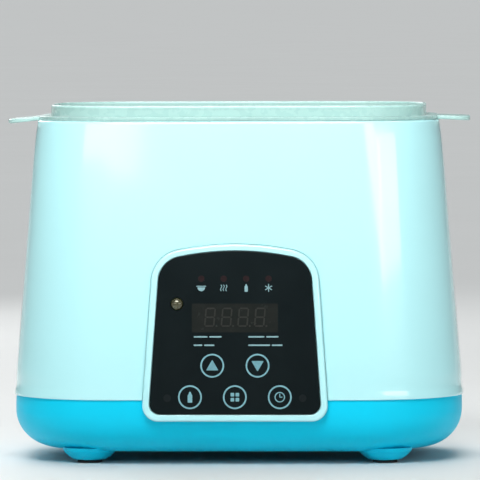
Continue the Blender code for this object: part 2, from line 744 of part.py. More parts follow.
def make_heater():
    flange_top = TANK_BOTTOM - 1.6 * MM
    flange_low = flange_top - 2 * MM
    profile = [
        (0, HEATER_TOP),
        (HEATER_RADIUS - 0.6 * MM, HEATER_TOP),
        (HEATER_RADIUS, HEATER_TOP - 0.6 * MM),
        (HEATER_RADIUS, flange_top),
        (HEATER_FLANGE, flange_top),
        (HEATER_FLANGE, flange_low),
        (0, flange_low),
    ]
    turned("heater_plate", profile, sides=32, finish="heater_metal")
    outer = circle(HEATER_FLANGE - 0.6 * MM)
    inner = circle(HEATER_RADIUS + 0.7 * MM)
    plate("heater_gasket", outer, flange_top + GAP, TANK_BOTTOM - GAP, holes=[inner], finish="silicone")

    ring_top = flange_low - GAP
    holes = [circle(40 * MM), *(circle(1.9 * MM, place, 10) for place in heater_screw_places())]
    plate("clamp_ring", circle(52 * MM), ring_top - 1.5 * MM, ring_top, holes=holes, finish="steel")
    head_high = ring_top - 1.5 * MM - GAP
    profile = screw_profile(3 * MM, head_high - 1.9 * MM, head_high, 1.4 * MM, TANK_BOTTOM - 0.1 * MM)
    for index, place in enumerate(heater_screw_places(), 1):
        turned(f"heater_screw_{index}", profile, place, 8, "steel")

    element_radius = 3.2 * MM
    level = flange_low - GAP - element_radius
    sweep = math.radians(300)
    arc = [27 * MM * heading(sweep * (step / 11 - 0.5)) for step in range(12)]
    arc = [point.to_3d() + Vector((0, 0, level)) for point in arc]
    tail = [Vector(step) * MM for step in ((-1.1, 0, -1.4), (-2.5, 0, -4.7), (-2.5, 0, -11.2))]
    tails = [[end + step for step in tail] for end in (arc[0], arc[-1])]
    tube("heating_element", [*reversed(tails[0]), *arc, *tails[1]], element_radius, "heater_metal")

    under = flange_low - GAP
    cylinder("thermostat", 8 * MM, under - 9 * MM, under, (0, 0), 20, "black_part")
    fuse_points = [Vector((13, y, 0)) * MM + Vector((0, 0, under - 2.2 * MM)) for y in (-6, 0, 6)]
    tube("thermal_fuse", fuse_points, 2 * MM, "white_part")
    cylinder("temperature_sensor", 2.6 * MM, under - 6 * MM, under, (-14 * MM, 0), 14, "steel")


# ---------------------------------------------------------------- power board and inlet

def power_board_corners():
    edge = 4 * MM
    low, high = BOARD_CORNERS
    return [(x, y) for x in (low.x + edge, high.x - edge) for y in (low.y + edge, high.y - edge)]


def board_part(name, centre, size, finish):
    centre = Vector(centre) * MM
    half = Vector(size[:2]) * MM / 2
    low = BOARD_TOP + GAP
    block(name, (*(centre - half), low), (*(centre + half), low + size[2] * MM), finish)


def make_power_board():
    low, high = BOARD_CORNERS
    block("power_board", (*low, BOARD_LOW), (*high, BOARD_TOP), "circuit_board")
    board_part("board_transformer", (-42, 26), (26, 22, 20), "blue_part")
    board_part("power_relay", (-14, 28), (19, 15, 16), "black_part")
    board_part("film_capacitor", (0.5, 29), (8, 17, 13), "blue_part")
    board_part("mains_connector", (16, 12), (8, 14, 10), "white_part")
    board_part("heater_connector", (-10, 8), (14, 8, 10), "white_part")
    board_part("control_header", (-38, 2), (16, 7, 8), "white_part")
    low = BOARD_TOP + GAP
    cylinder("bulk_capacitor", 5 * MM, low, low + 17 * MM, (-56 * MM, 6 * MM), 20, "black_part")


def make_inlet():
    """A two-pin mains inlet that slides into the pan's back wall, open to the rear.

    It stands out at the back as far as the control panel does at the front.
    """
    rim = Vector((16.1, 10.0)) * MM
    body = Vector((13.0, 8.5)) * MM
    middle = casing_half(PANEL_MIDDLE).y
    back = middle - PANEL_LOW * math.sin(PANEL_TILT) + BEZEL_PROUD * math.cos(PANEL_TILT)
    inlet = block(
        "mains_inlet",
        (-rim.x, PAN_HALF.y + 2 * GAP, INLET_UP - rim.y),
        (rim.x, back, INLET_UP + rim.y),
        "black_part",
    )
    low = (-body.x, 58.6 * MM, INLET_UP - body.y)
    join(inlet, block("inlet_body", low, (body.x, 75 * MM, INLET_UP + body.y)))
    end = 4.6 * MM
    corners = [(x * (INLET_PIN_X + end), up * end) for x, up in ((-1, -1), (1, -1), (1, 1), (-1, 1))]
    outline = rounded_polygon(corners, [0.98 * end] * 4)
    cavity = plate("inlet_cavity", outline, -90 * MM, -61 * MM)
    cavity.location = (0, 0, INLET_UP)
    cavity.rotation_euler = (math.pi / 2, 0, 0)
    cut(inlet, cavity)
    for side, sign in (("left", -1), ("right", 1)):
        hole = cylinder(f"pin_hole_{side}", 1.5 * MM, -70 * MM, -50 * MM, (sign * INLET_PIN_X, 0), 12)
        place = (sign * INLET_PIN_X, 0)
        pin = cylinder(f"inlet_pin_{side}", 1.2 * MM, -73.5 * MM, -55 * MM, place, 12, "brass")
        for piece in (hole, pin):
            piece.location = (0, 0, INLET_UP)
            piece.rotation_euler = (math.pi / 2, 0, 0)
        cut(inlet, hole)


def make_wires(frame):
    """Wires that the casing holds all the way, each between the faces of its two ends."""
    connector_top = 26.2
    for side, sign in (("front", -1), ("rear", 1)):
        start = (-10 + 3 * sign, 8, connector_top)
        middle = (-20, 8 + 4 * sign, 37)
        route = [start, (-12 + 3 * sign, 8, 32), middle, (-25.9, 13 * sign, 41.5), (-25.9, 13.5 * sign, 45.0)]
        tube(f"heater_lead_{side}", through(route), 1.3 * MM, "wire_red")
    for side, sign in (("left", -1), ("right", 1)):
        end_x = 16 + 2.5 * sign
        top = [(end_x, 26, 34), (end_x, 13, 31), (end_x, 12, 26.4)]
        route = [(sign * 4.3, 54.5, 20), (sign * 4.3, 48, 20), (10 + 4 * sign, 42, 29), *top]
        tube(f"mains_lead_{side}", through(route), 1.2 * MM, "wire_grey")
    socket_back = BOARD_BACK - GAP - 6 * MM
    start = frame.matrix_world @ Vector((0, -9 * MM, socket_back - 2 * GAP)) / MM
    onward = frame.matrix_world @ Vector((0, -9 * MM, socket_back - 7 * MM)) / MM
    route = [start, onward, (-16, -42, 46), (-32, -20, 38), (-38, -1, 34), (-38, 2, 30), (-38, 2, 24.6)]
    tube("control_cable", through(route), 1.8 * MM, "wire_grey")


def main():
    global PARTS, CUTTERS
    clear_scene()
    PARTS = new_collection("bottle_steriliser")
    CUTTERS = new_collection("cutters")
    add_finishes()
    panel_frame = make_panel_frame()
    make_upper_housing(panel_frame)
    make_base_pan(panel_frame)
    make_foot_pads()
    make_base_screws()
    make_panel_bezel(panel_frame)
    make_touch_panel(panel_frame)
    make_lamp(panel_frame)
    make_control_board(panel_frame)
    make_basket()
    make_water_tank()
    make_heater()
    make_power_board()
    make_inlet()
    make_wires(panel_frame)


main()
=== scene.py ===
"""Looks of the bottle steriliser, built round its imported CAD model.

Metres, +Z up. The front faces -Y, and +X is to the right seen from the front.
"""

import json
import math

import bmesh
import bpy
from mathutils import Euler, Matrix, Quaternion, Vector


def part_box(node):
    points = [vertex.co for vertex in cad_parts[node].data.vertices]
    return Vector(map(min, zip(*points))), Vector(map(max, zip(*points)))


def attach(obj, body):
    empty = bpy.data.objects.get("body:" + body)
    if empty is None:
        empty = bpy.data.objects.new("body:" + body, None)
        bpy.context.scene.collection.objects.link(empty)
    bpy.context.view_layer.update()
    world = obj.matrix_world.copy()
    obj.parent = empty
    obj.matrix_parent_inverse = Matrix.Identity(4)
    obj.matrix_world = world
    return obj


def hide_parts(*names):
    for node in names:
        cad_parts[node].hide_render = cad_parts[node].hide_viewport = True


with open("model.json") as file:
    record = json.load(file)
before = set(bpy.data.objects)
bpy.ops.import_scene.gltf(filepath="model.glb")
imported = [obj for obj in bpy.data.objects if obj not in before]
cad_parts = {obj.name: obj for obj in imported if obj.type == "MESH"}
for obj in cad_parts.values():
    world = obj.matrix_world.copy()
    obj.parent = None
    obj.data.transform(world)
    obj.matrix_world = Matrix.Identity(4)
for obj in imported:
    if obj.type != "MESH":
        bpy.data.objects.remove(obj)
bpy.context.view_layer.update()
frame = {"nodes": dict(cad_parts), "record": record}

MM = 0.001
GAP = 0.3 * MM  # between pieces that touch
SIDES = (("left", -1), ("right", 1))  # with the sign of X

# Sizes that the CAD model settles
pan_low, pan_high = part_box("base_pan")
_, shell_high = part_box("upper_housing")
basket_low, basket_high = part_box("bottle_basket")
_, tank_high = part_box("water_tank")
heater_low, heater_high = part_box("heater_plate")
pad_low, pad_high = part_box("foot_pad_front_right")
lamp_low, lamp_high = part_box("night_lamp")

# Casing: heights, half sizes in plan, and the rounding of its corners
PAD_STAND = pan_low.z
BASE_BOTTOM = PAD_STAND + 4.4 * MM
SEAM = 33.0 * MM
LIP = SEAM + 2.5 * MM
DECK = shell_high.z
LIP_HALF = Vector((shell_high.x, shell_high.y))
DECK_HALF = LIP_HALF - Vector((12.1, 13.0)) * MM
PAN_HALF = Vector((pan_high.x, LIP_HALF.y - 0.6 * MM))
CORNER_SHARE = 0.66  # corner radius as a share of the half depth
BOW = 1.5 * MM  # how far each wall bulges in the middle
SWELL = 1.15 * MM  # how far the two ends swell out above their middle
WALL = 2.2 * MM
PAN_EDGE = Vector((21.0, 19.5)) * MM  # width and height of the pan's round lower edge
SHOULDER = 1.1 * MM  # radius between the walls and the deck
OPENING_HALF = Vector((93.4, 53.4)) * MM
OPENING_CORNER = 31.8 * MM

# Control panel, on a plane that leans with the casing's front
PANEL_TILT = math.atan((LIP_HALF.y - DECK_HALF.y) / (DECK - LIP))
PANEL_MIDDLE = 66.4 * MM
PANEL_LOW = -44.1 * MM
PANEL_HIGH = 46.7 * MM
PANEL_LOW_HALF = 46.9 * MM
PANEL_HIGH_HALF = 40.5 * MM
PANEL_SLOPE = math.tan(math.radians(10))  # of the two runs that meet at the top
BEZEL_PROUD = 2.4 * MM
BEZEL_BORDER = 3.3 * MM
BEZEL_DEPTH = 9.0 * MM
BEZEL_SINK = 1.7 * MM  # how deep the frame is let into the casing
BEZEL_GAP = 0.35 * MM  # round the frame
GLASS_TOP = BEZEL_PROUD - 0.4 * MM
BOARD_FRONT = -4.0 * MM
KEY_RADIUS = 5.55 * MM
KEY_LINE = 0.76 * MM
KEY_PLACES = {
    "up": Vector((-11.3, -16.2)) * MM,
    "down": Vector((11.3, -16.2)) * MM,
    "warm": Vector((-22.4, -31.9)) * MM,
    "function": Vector((0.0, -31.9)) * MM,
    "timer": Vector((22.4, -31.9)) * MM,
}
STATUS_X = [x * MM for x in (-16.8, -5.6, 5.6, 16.8)]
STATUS_UP = 27.2 * MM
LABEL_UP = 22.6 * MM
DISPLAY_SIZE = Vector((43.0, 14.4)) * MM
DISPLAY_UP = 7.6 * MM
LAMP_PLACE = Vector((-29.0, 14.6)) * MM
LAMP_RADIUS = (lamp_high.x - lamp_low.x) / 2
LAMP_SIDE_TOP = 1.2 * MM

# Basket
FLANGE_LOW = DECK + 0.1 * MM
FLANGE_THICK = 2.0 * MM
FLANGE_TOP = FLANGE_LOW + FLANGE_THICK
RIM = basket_high.z
FLANGE_HALF = Vector((101.0, 60.8)) * MM
COLLAR_HALF = Vector((95.2, 54.6)) * MM
COLLAR_WALL = 1.8 * MM
TAB_ROOT = 96.0 * MM
TAB_REACH = 117.5 * MM
TAB_HALF_WIDTH = 18.0 * MM
TAB_DROOP = {"left": math.radians(5.0), "right": math.radians(1.7)}
CUP_X = 45.5 * MM
CUP_TOP_RADIUS = 42.5 * MM
CUP_LOW_RADIUS = 39.5 * MM
CUP_WALL = 1.8 * MM
CUP_BOTTOM = basket_low.z
CUP_SLOTS = 8
SLOT_HALF_WIDTH = 3.0 * MM
SLOT_SPAN = (16 * MM, 70 * MM)  # above the cup's bottom
DRAIN_RING = 23.0 * MM
DRAIN_RADIUS = 4.5 * MM

# Tank and heater
TANK_TOP_HALF = Vector((92.6, 52.6)) * MM
TANK_LOW_HALF = Vector((90.0, 50.0)) * MM
TANK_CORNER = 31.0 * MM
TANK_WALL = 1.8 * MM
TANK_BOTTOM = 64.0 * MM
TANK_TOP = tank_high.z
HEATER_RADIUS = 37.6 * MM
HEATER_FLANGE = heater_high.x

# Feet and screws
FOOT_PLACE = Vector((74.4, 46.0)) * MM
FOOT_RADIUS = 13.7 * MM
FOOT_FLAT = 7.2 * MM
PAD_RADIUS = (pad_high.x - pad_low.x) / 2
POST_PLACE = Vector((84.0, 24.0)) * MM
HEAD_WELL_TOP = BASE_BOTTOM + 4.2 * MM
HEAD_WELL_RADIUS = 4.2 * MM
BOSS_TOP = BASE_BOTTOM + 7.0 * MM
POST_TOP = 59.5 * MM
RIB_REACH = 110.3 * MM
RIB_THICK = 2.4 * MM
PILLAR_X = 72 * MM
INLET_UP = 20.0 * MM

# Camera, in front of the control panel
CAMERA_AZIMUTH = math.radians(2.1)
CAMERA_PITCH = math.radians(2.59)
CAMERA_ROLL = math.radians(-0.17)
CAMERA_DISTANCE = 3.0
CAMERA_HEIGHT = 0.2455
CAMERA_LENS = 441.0


# ---------------------------------------------------------------- outlines


def heading(angle):
    return Vector((math.cos(angle), math.sin(angle)))


def turns(count, start=0.0):
    """Equal steps round a circle."""
    return [start + 2 * math.pi * step / count for step in range(count)]


def circle(radius, centre=(0, 0), sides=64):
    return [Vector(centre) + radius * heading(angle) for angle in turns(sides)]


def arc(centre, radius, start, end, steps=6):
    """Points on an arc, with its angles in degrees."""
    angles = [math.radians(start + (end - start) * step / steps) for step in range(steps + 1)]
    return [Vector(centre) + radius * heading(angle) for angle in angles]


def rounded_rectangle(half, corner, bow=0.0, corner_steps=20, side_steps=(44, 18)):
    """Anticlockwise points of a rounded rectangle whose sides bulge by bow."""
    half = Vector(half) - Vector((bow, bow))
    points = []
    for index, (sign_x, sign_y) in enumerate(((1, 1), (-1, 1), (-1, -1), (1, -1))):
        middle = Vector((sign_x * (half.x - corner), sign_y * (half.y - corner)))
        points += arc(middle, corner, 90 * index, 90 * (index + 1), corner_steps)
        along = index % 2
        straight = 2 * (half[along] - corner) * heading(math.pi / 2 * (index + 2))
        corner_end = points[-1]
        for step in range(1, side_steps[along]):
            points.append(corner_end + straight * step / side_steps[along])
    for point in points:
        bulge_x = math.copysign(bow, point.x) * (1 - (point.y / half.y) ** 2)
        bulge_y = math.copysign(bow, point.y) * (1 - (point.x / half.x) ** 2)
        point += Vector((bulge_x, bulge_y))
    return points


def rounded_polygon(corners, radii, steps=12):
    """A closed outline through straight runs, each corner rounded to its radius."""
    points = []
    count = len(corners)
    for index, radius in enumerate(radii):
        here = Vector(corners[index])
        to_last = (Vector(corners[index - 1]) - here).normalized()
        to_next = (Vector(corners[(index + 1) % count]) - here).normalized()
        half_angle = to_last.angle(to_next) / 2
        middle = here + (to_last + to_next).normalized() * radius / math.sin(half_angle)
        start = here + to_last * radius / math.tan(half_angle) - middle
        sweep = math.pi - 2 * half_angle
        for step in range(steps + 1):
            points.append(middle + start @ Matrix.Rotation(-sweep * step / steps, 2))
    return points


def panel_outline(inset):
    """The control panel's outline, its own edge moved inwards by inset."""
    low = PANEL_LOW + inset
    high = PANEL_HIGH - inset
    lean = (PANEL_LOW_HALF - PANEL_HIGH_HALF) / (PANEL_HIGH - PANEL_LOW)
    low_half = PANEL_LOW_HALF - inset - lean * inset
    high_half = (low_half - lean * (high - low)) / (1 - lean * PANEL_SLOPE)
    shoulder = high - PANEL_SLOPE * high_half
    corners = [(-low_half, low), (low_half, low), (high_half, shoulder), (0, high), (-high_half, shoulder)]
    low_radius = 8 * MM - 0.75 * inset
    high_radius = 16.4 * MM - inset
    arch_radius = 140 * MM - inset
    return rounded_polygon(corners, [low_radius, low_radius, high_radius, arch_radius, high_radius], 16)


def stadium(half_length, half_width, steps=8):
    """An upright slot's outline, with round ends."""
    top = arc((0, half_length - half_width), half_width, 0, 180, steps)
    low = arc((0, half_width - half_length), half_width, 180, 360, steps)
    return top + low


def casing_half(height):
    """The casing's plan at a height: it leans in evenly, and its two ends swell a little near the top."""
    share = (height - LIP) / (DECK - LIP)
    swell = SWELL * max(share, 0) ** 1.5 * (1 - share**12)
    return LIP_HALF.lerp(DECK_HALF, share) + Vector((swell, 0))


def level(points, height):
    return [Vector((point.x, point.y, height)) for point in points]


def plan_ring(half, height, corner, bow=BOW):
    return level(rounded_rectangle(half, corner, bow), height)


def casing_ring(inset, height):
    half = casing_half(height)
    corner = CORNER_SHARE * half.y - inset
    return plan_ring(half - Vector((inset, inset)), height, corner)


def four_corners(place):
    """The four places that a place mirrors to, with their names."""
    for side, sign_x in SIDES:
        for end, sign_y in (("front", -1), ("rear", 1)):
            yield f"{end}_{side}", Vector((sign_x * place[0], sign_y * place[1]))


PANEL_ORIGIN = Matrix.Translation((0, -casing_half(PANEL_MIDDLE).y, PANEL_MIDDLE))
PANEL_PLACE = PANEL_ORIGIN @ Matrix.Rotation(math.pi / 2 - PANEL_TILT, 4, "X")


# ---------------------------------------------------------------- mesh tools


def add_skin(bm, rings, loop=False):
    """Faces through rings of equal length, which meet again in a loop or else are capped at both ends."""
    rows = [[bm.verts.new(point) for point in ring] for ring in rings]
    pairs = list(zip(rows, rows[1:]))
    if loop:
        pairs.append((rows[-1], rows[0]))
    count = len(rows[0])
    for lower, upper in pairs:
        for i in range(count):
            j = (i + 1) % count
            bm.faces.new((lower[i], lower[j], upper[j], upper[i]))
    if not loop:
        bm.faces.new(reversed(rows[0]))
        bm.faces.new(rows[-1])


def add_turned(bm, profile, centre=(0, 0), sides=64, loop=False):
    """A profile of (radius, height) points, from low to high, turned about an upright axis."""
    add_skin(bm, [level(circle(radius, centre, sides), height) for radius, height in profile], loop)


def add_prism(bm, outline, low, high):
    add_skin(bm, [level(outline, low), level(outline, high)])


def add_box(bm, low, high):
    low = Vector(low)
    high = Vector(high)
    place = Matrix.Translation((low + high) / 2) @ Matrix.Diagonal((*(high - low), 1))
    bmesh.ops.create_cube(bm, size=1, matrix=place)


def mesh_object(name, bm, place=None):
    """An object from mesh code, its faces turned outwards and its place put in its vertices."""
    if place is not None:
        bm.transform(place)
    bmesh.ops.recalc_face_normals(bm, faces=bm.faces)
    mesh = bpy.data.meshes.new(name)
    bm.to_mesh(mesh)
    bm.free()
    obj = bpy.data.objects.new(name, mesh)
    bpy.context.scene.collection.objects.link(obj)
    return obj


def skin_object(name, rings, loop=False, place=None):
    bm = bmesh.new()
    add_skin(bm, rings, loop)
    return mesh_object(name, bm, place)


def turned_object(name, profile, centre=(0, 0), sides=64, loop=False, place=None):
    bm = bmesh.new()
    add_turned(bm, profile, centre, sides, loop)
    return mesh_object(name, bm, place)


def prism_object(name, outline, low, high, place=None):
    bm = bmesh.new()
    add_prism(bm, outline, low, high)
    return mesh_object(name, bm, place)


def box_object(name, low, high, place=None):
    bm = bmesh.new()
    add_box(bm, low, high)
    return mesh_object(name, bm, place)


def combine(target, operation, *others):
    """Applies a Boolean with each of the others at once, and removes them."""
    for other in others:
        modifier = target.modifiers.new(other.name, "BOOLEAN")
        modifier.operation = operation
        modifier.solver = "EXACT"
        modifier.object = other
    bpy.context.view_layer.update()
    graph = bpy.context.evaluated_depsgraph_get()
    mesh = bpy.data.meshes.new_from_object(target.evaluated_get(graph))
    target.modifiers.clear()
    target.data = mesh
    for other in others:
        bpy.data.objects.remove(other, do_unlink=True)


def finished(obj, slot, stands_for=(), body="appliance", material=None):
    """Shades a new piece, gives it its slot's material or another, and hangs it on its CAD body."""
    mesh = obj.data
    mesh.materials.clear()
    mesh.materials.append(material or SLOT_MATERIALS[slot])
    mesh.shade_smooth()
    mesh.set_sharp_from_angle(angle=math.radians(32))
    normals = obj.modifiers.new("normals", "WEIGHTED_NORMAL")
    normals.keep_sharp = True
    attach(obj, body)
    if stands_for:
        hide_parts(*stands_for)


# ---------------------------------------------------------------- materials


class Nodes:
    """A new material's nodes, with short ways to add and link them."""

    def __init__(self, name, roughness, metallic=0.0):
        self.material = bpy.data.materials.new(name)
        self.material.use_nodes = True
        self.tree = self.material.node_tree
        self.shader = self.tree.nodes["Principled BSDF"]
        self.shader.inputs["Roughness"].default_value = roughness
        self.shader.inputs["Metallic"].default_value = metallic
        self.place = self.add("TexCoord").outputs["Object"]

    def add(self, kind):
        return self.tree.nodes.new(f"ShaderNode{kind}")

    def link(self, source, target):
        self.tree.links.new(source, target)

    def coat(self, weight, roughness):
        self.shader.inputs["Coat Weight"].default_value = weight
        self.shader.inputs["Coat Roughness"].default_value = roughness

    def gloss(self, level):
        self.shader.inputs["Specular IOR Level"].default_value = level

    def stretched(self, scale):
        mapping = self.add("Mapping")
        mapping.inputs["Scale"].default_value = scale
        self.link(self.place, mapping.inputs["Vector"])
        return mapping.outputs["Vector"]

    def noise(self, scale, detail=3.0, vector=None):
        noise = self.add("TexNoise")
        noise.inputs["Scale"].default_value = scale
        noise.inputs["Detail"].default_value = detail
        self.link(vector or self.place, noise.inputs["Vector"])
        return noise.outputs["Fac"]

    def ramp(self, value, stops):
        """Colours by value, from a list of (value, colour)."""
        ramp = self.add("ValToRGB")
        elements = ramp.color_ramp.elements
        while len(elements) < len(stops):
            elements.new(0.5)
        for element, (at, colour) in zip(elements, stops):
            element.position = at
            element.color = (*colour, 1.0)
        self.link(value, ramp.inputs["Fac"])
        return ramp.outputs["Color"]

    def span(self, value, start, end, low, high):
        """The value's way from start to end as a way from low to high, held at both beyond them."""
        span = self.add("MapRange")
        limits = {"From Min": start, "From Max": end, "To Min": low, "To Max": high}
        for socket, limit in limits.items():
            span.inputs[socket].default_value = limit
        self.link(value, span.inputs["Value"])
        return span.outputs["Result"]

    def math(self, operation, *values):
        node = self.add("Math")
        node.operation = operation
        for socket, value in zip(node.inputs, values):
            if isinstance(value, (int, float)):
                socket.default_value = value
            else:
                self.link(value, socket)
        return node.outputs["Value"]

    def bump(self, height, distance, strength=1.0):
        bump = self.add("Bump")
        bump.inputs["Distance"].default_value = distance
        bump.inputs["Strength"].default_value = strength
        self.link(height, bump.inputs["Height"])
        self.link(bump.outputs["Normal"], self.shader.inputs["Normal"])

    def clouds(self, colours, scale):
        """Clouds between two close colours."""
        return self.ramp(self.noise(scale), [(0.35, colours[0]), (0.65, colours[1])])

    def colour(self, colours, scale):
        self.link(self.clouds(colours, scale), self.shader.inputs["Base Color"])

    def roughness(self, low, high, scale, detail=4.0, vector=None):
        rough = self.span(self.noise(scale, detail, vector), 0.3, 0.7, low, high)
        self.link(rough, self.shader.inputs["Roughness"])


def shade(colour, amount):
    return tuple(min(1.0, part * amount) for part in colour)


def moulded(name, colour, rough, grain=700, depth=0.00001, coat=0.0, gloss=0.5, vary=0.03, clouds=18):
    """Moulded plastic: faint flow clouds, uneven gloss and a fine skin."""
    nodes = Nodes(name, rough)
    nodes.colour((shade(colour, 1 - vary), shade(colour, 1 + vary)), clouds)
    nodes.roughness(rough * 0.85, rough * 1.15, 60)
    nodes.bump(nodes.noise(grain, 2.0), depth)
    nodes.gloss(gloss)
    nodes.coat(coat, 0.06)
    return nodes.material


def clear_plastic():
    """Translucent moulded plastic, milky and slightly green, which hides more at its tabs, and more at its
    rim, where the extra cover paints the rim's bright line as a highlight.
    """
    nodes = Nodes("clear_basket", 0.28)
    nodes.roughness(0.25, 0.30, 220)
    nodes.bump(nodes.noise(900, 2.0), 0.000006)
    nodes.coat(0.4, 0.08)

    parts = nodes.add("SeparateXYZ")
    nodes.link(nodes.place, parts.inputs["Vector"])
    side = nodes.math("ABSOLUTE", parts.outputs["X"])
    root = COLLAR_HALF.x + 0.3 * MM
    tab = TAB_ROOT + 3 * MM
    wall_cover = 0.52
    # Painted highlight: the wall turns more opaque over the top of the rim, which paints the rim's bright
    # line.
    rim_highlight_cover = nodes.span(parts.outputs["Z"], RIM - 1.3 * MM, RIM - 0.7 * MM, wall_cover, 0.84)
    tab_cover = nodes.span(side, root, tab, wall_cover, 0.93)
    nodes.link(nodes.math("MAXIMUM", rim_highlight_cover, tab_cover), nodes.shader.inputs["Alpha"])

    dimmed = nodes.add("VectorMath")
    dimmed.operation = "SCALE"
    nodes.link(nodes.clouds(((0.470, 0.725, 0.685), (0.495, 0.755, 0.715)), 25), dimmed.inputs["Vector"])
    nodes.link(nodes.span(side, root, tab, 1.0, 0.95), dimmed.inputs["Scale"])
    nodes.link(dimmed.outputs["Vector"], nodes.shader.inputs["Base Color"])
    return nodes.material


def panel_glass():
    """Black acrylic with a trace of orange peel."""
    nodes = Nodes("black_panel", 0.14)
    nodes.colour(((0.0056, 0.0096, 0.0106), (0.0070, 0.0116, 0.0127)), 40)
    nodes.roughness(0.11, 0.18, 120)
    nodes.bump(nodes.noise(300, 1.0), 0.000004)
    nodes.gloss(0.12)
    return nodes.material


def ink(name, colour, vary=0.08, gloss=0.3):
    """Screen-printed ink, a little uneven."""
    nodes = Nodes(name, 0.4)
    nodes.colour((shade(colour, 1 - vary), shade(colour, 1 + vary)), 900)
    nodes.roughness(0.35, 0.48, 700)
    nodes.gloss(gloss)
    return nodes.material


def spun_metal(name, colour, rough):
    """Metal turned on a lathe, with fine rings round the upright axis."""
    nodes = Nodes(name, rough, metallic=1.0)
    nodes.colour((shade(colour, 0.92), shade(colour, 1.05)), 30)
    flat = nodes.stretched((1, 1, 0))
    length = nodes.add("VectorMath")
    length.operation = "LENGTH"
    nodes.link(flat, length.inputs[0])
    rings = nodes.add("TexNoise")
    rings.noise_dimensions = "1D"
    rings.inputs["Scale"].default_value = 1600
    nodes.link(length.outputs["Value"], rings.inputs["W"])
    uneven = nodes.span(rings.outputs["Fac"], 0.3, 0.7, rough * 0.8, rough * 1.3)
    nodes.link(uneven, nodes.shader.inputs["Roughness"])
    nodes.bump(rings.outputs["Fac"], 0.00002)
    return nodes.material


def brushed_metal(name, colour, rough):
    """Rolled and plated metal, with fine lines and faint stains."""
    nodes = Nodes(name, rough, metallic=1.0)
    nodes.colour((shade(colour, 0.90), shade(colour, 1.05)), 60)
    lines = nodes.stretched((1, 12, 12))
    nodes.roughness(rough * 0.8, rough * 1.25, 220, vector=lines)
    nodes.bump(nodes.noise(500, 2.0, lines), 0.00001)
    return nodes.material


def circuit_board():
    """Green solder mask over darker and lighter copper runs."""
    nodes = Nodes("circuit_board", 0.42)
    runs = nodes.add("TexBrick")
    runs.inputs["Scale"].default_value = 160
    runs.inputs["Mortar Size"].default_value = 0.035
    runs.inputs["Color1"].default_value = (0.020, 0.150, 0.060, 1)
    runs.inputs["Color2"].default_value = (0.028, 0.190, 0.080, 1)
    runs.inputs["Mortar"].default_value = (0.075, 0.300, 0.130, 1)
    nodes.link(nodes.place, runs.inputs["Vector"])
    nodes.link(runs.outputs["Color"], nodes.shader.inputs["Base Color"])
    nodes.roughness(0.35, 0.5, 300)
    nodes.bump(runs.outputs["Fac"], 0.00003, 0.6)
    return nodes.material


def rubber(name, colour, rough):
    nodes = Nodes(name, rough)
    nodes.colour((shade(colour, 0.8), shade(colour, 1.25)), 200)
    nodes.roughness(rough * 0.9, min(1.0, rough * 1.12), 500)
    nodes.bump(nodes.noise(1800, 3.0), 0.00003)
    return nodes.material


def lamp_lens():
    """An olive dome with a metal reflector close behind it."""
    nodes = Nodes("lamp", 0.12, metallic=0.35)
    nodes.colour(((0.050, 0.050, 0.022), (0.085, 0.083, 0.040)), 500)
    nodes.roughness(0.07, 0.14, 400)
    nodes.coat(0.8, 0.03)
    return nodes.material


def smoked_window():
    """The display's face seen through the black panel."""
    nodes = Nodes("display_window", 0.22)
    nodes.colour(((0.0105, 0.0135, 0.0120), (0.0130, 0.0155, 0.0138)), 160)
    nodes.roughness(0.18, 0.28, 300)
    nodes.gloss(0.2)
    return nodes.material


def floor_material():
    nodes = Nodes("floor", 0.6)
    nodes.colour(((0.705, 0.718, 0.712), (0.715, 0.728, 0.722)), 3)
    nodes.roughness(0.55, 0.7, 8)
    nodes.gloss(0.2)
    return nodes.material


WHITE = (0.49, 0.89, 0.92)
BLUE = (0.001, 0.610, 0.860)
SLOT_MATERIALS = {
    "white_shell": moulded("white_shell", WHITE, 0.20, coat=1.0, vary=0.008),
    "blue_base": moulded("blue_base", BLUE, 0.38, grain=1400, depth=0.000015, gloss=0.15),
    "clear_basket": clear_plastic(),
    "black_panel": panel_glass(),
    "white_tank": moulded("white_tank", (0.80, 0.86, 0.84), 0.35),
    "rubber": rubber("rubber", (0.020, 0.020, 0.022), 0.8),
    "silicone": rubber("silicone", (0.55, 0.58, 0.56), 0.55),
    "heater_metal": spun_metal("heater_metal", (0.70, 0.71, 0.72), 0.30),
    "steel": brushed_metal("steel", (0.62, 0.62, 0.63), 0.32),
    "brass": brushed_metal("brass", (0.72, 0.53, 0.26), 0.28),
    "circuit_board": circuit_board(),
    "black_part": moulded("black_part", (0.018, 0.019, 0.021), 0.42, grain=1600, depth=0.00002),
    "white_part": moulded("white_part", (0.72, 0.71, 0.64), 0.45),
    "blue_part": moulded("blue_part", (0.03, 0.09, 0.42), 0.34, vary=0.08),
    "lamp": lamp_lens(),
    "red_led": moulded("red_led", (0.30, 0.020, 0.016), 0.18, coat=0.6),
    "wire_red": moulded("wire_red", (0.42, 0.025, 0.020), 0.50, grain=2200),
    "wire_grey": moulded("wire_grey", (0.36, 0.37, 0.38), 0.52, grain=2200),
}
PRINT_INK = ink("print_ink", (0.190, 0.405, 0.460))
ARROW_INK = ink("arrow_ink", (0.140, 0.320, 0.370))
LABEL_INK = ink("label_ink", (0.230, 0.400, 0.430))
DIGIT_INK = ink("digit_ghost", (0.0200, 0.0212, 0.0185), 0.1, 0.2)
GLOW_INK = ink("status_spot", (0.0190, 0.0100, 0.0110), 0.2, 0.1)
MARK_INK = ink("sink_mark", (0.0070, 0.0110, 0.0121), 0.1, 0.1)


# ---------------------------------------------------------------- casing


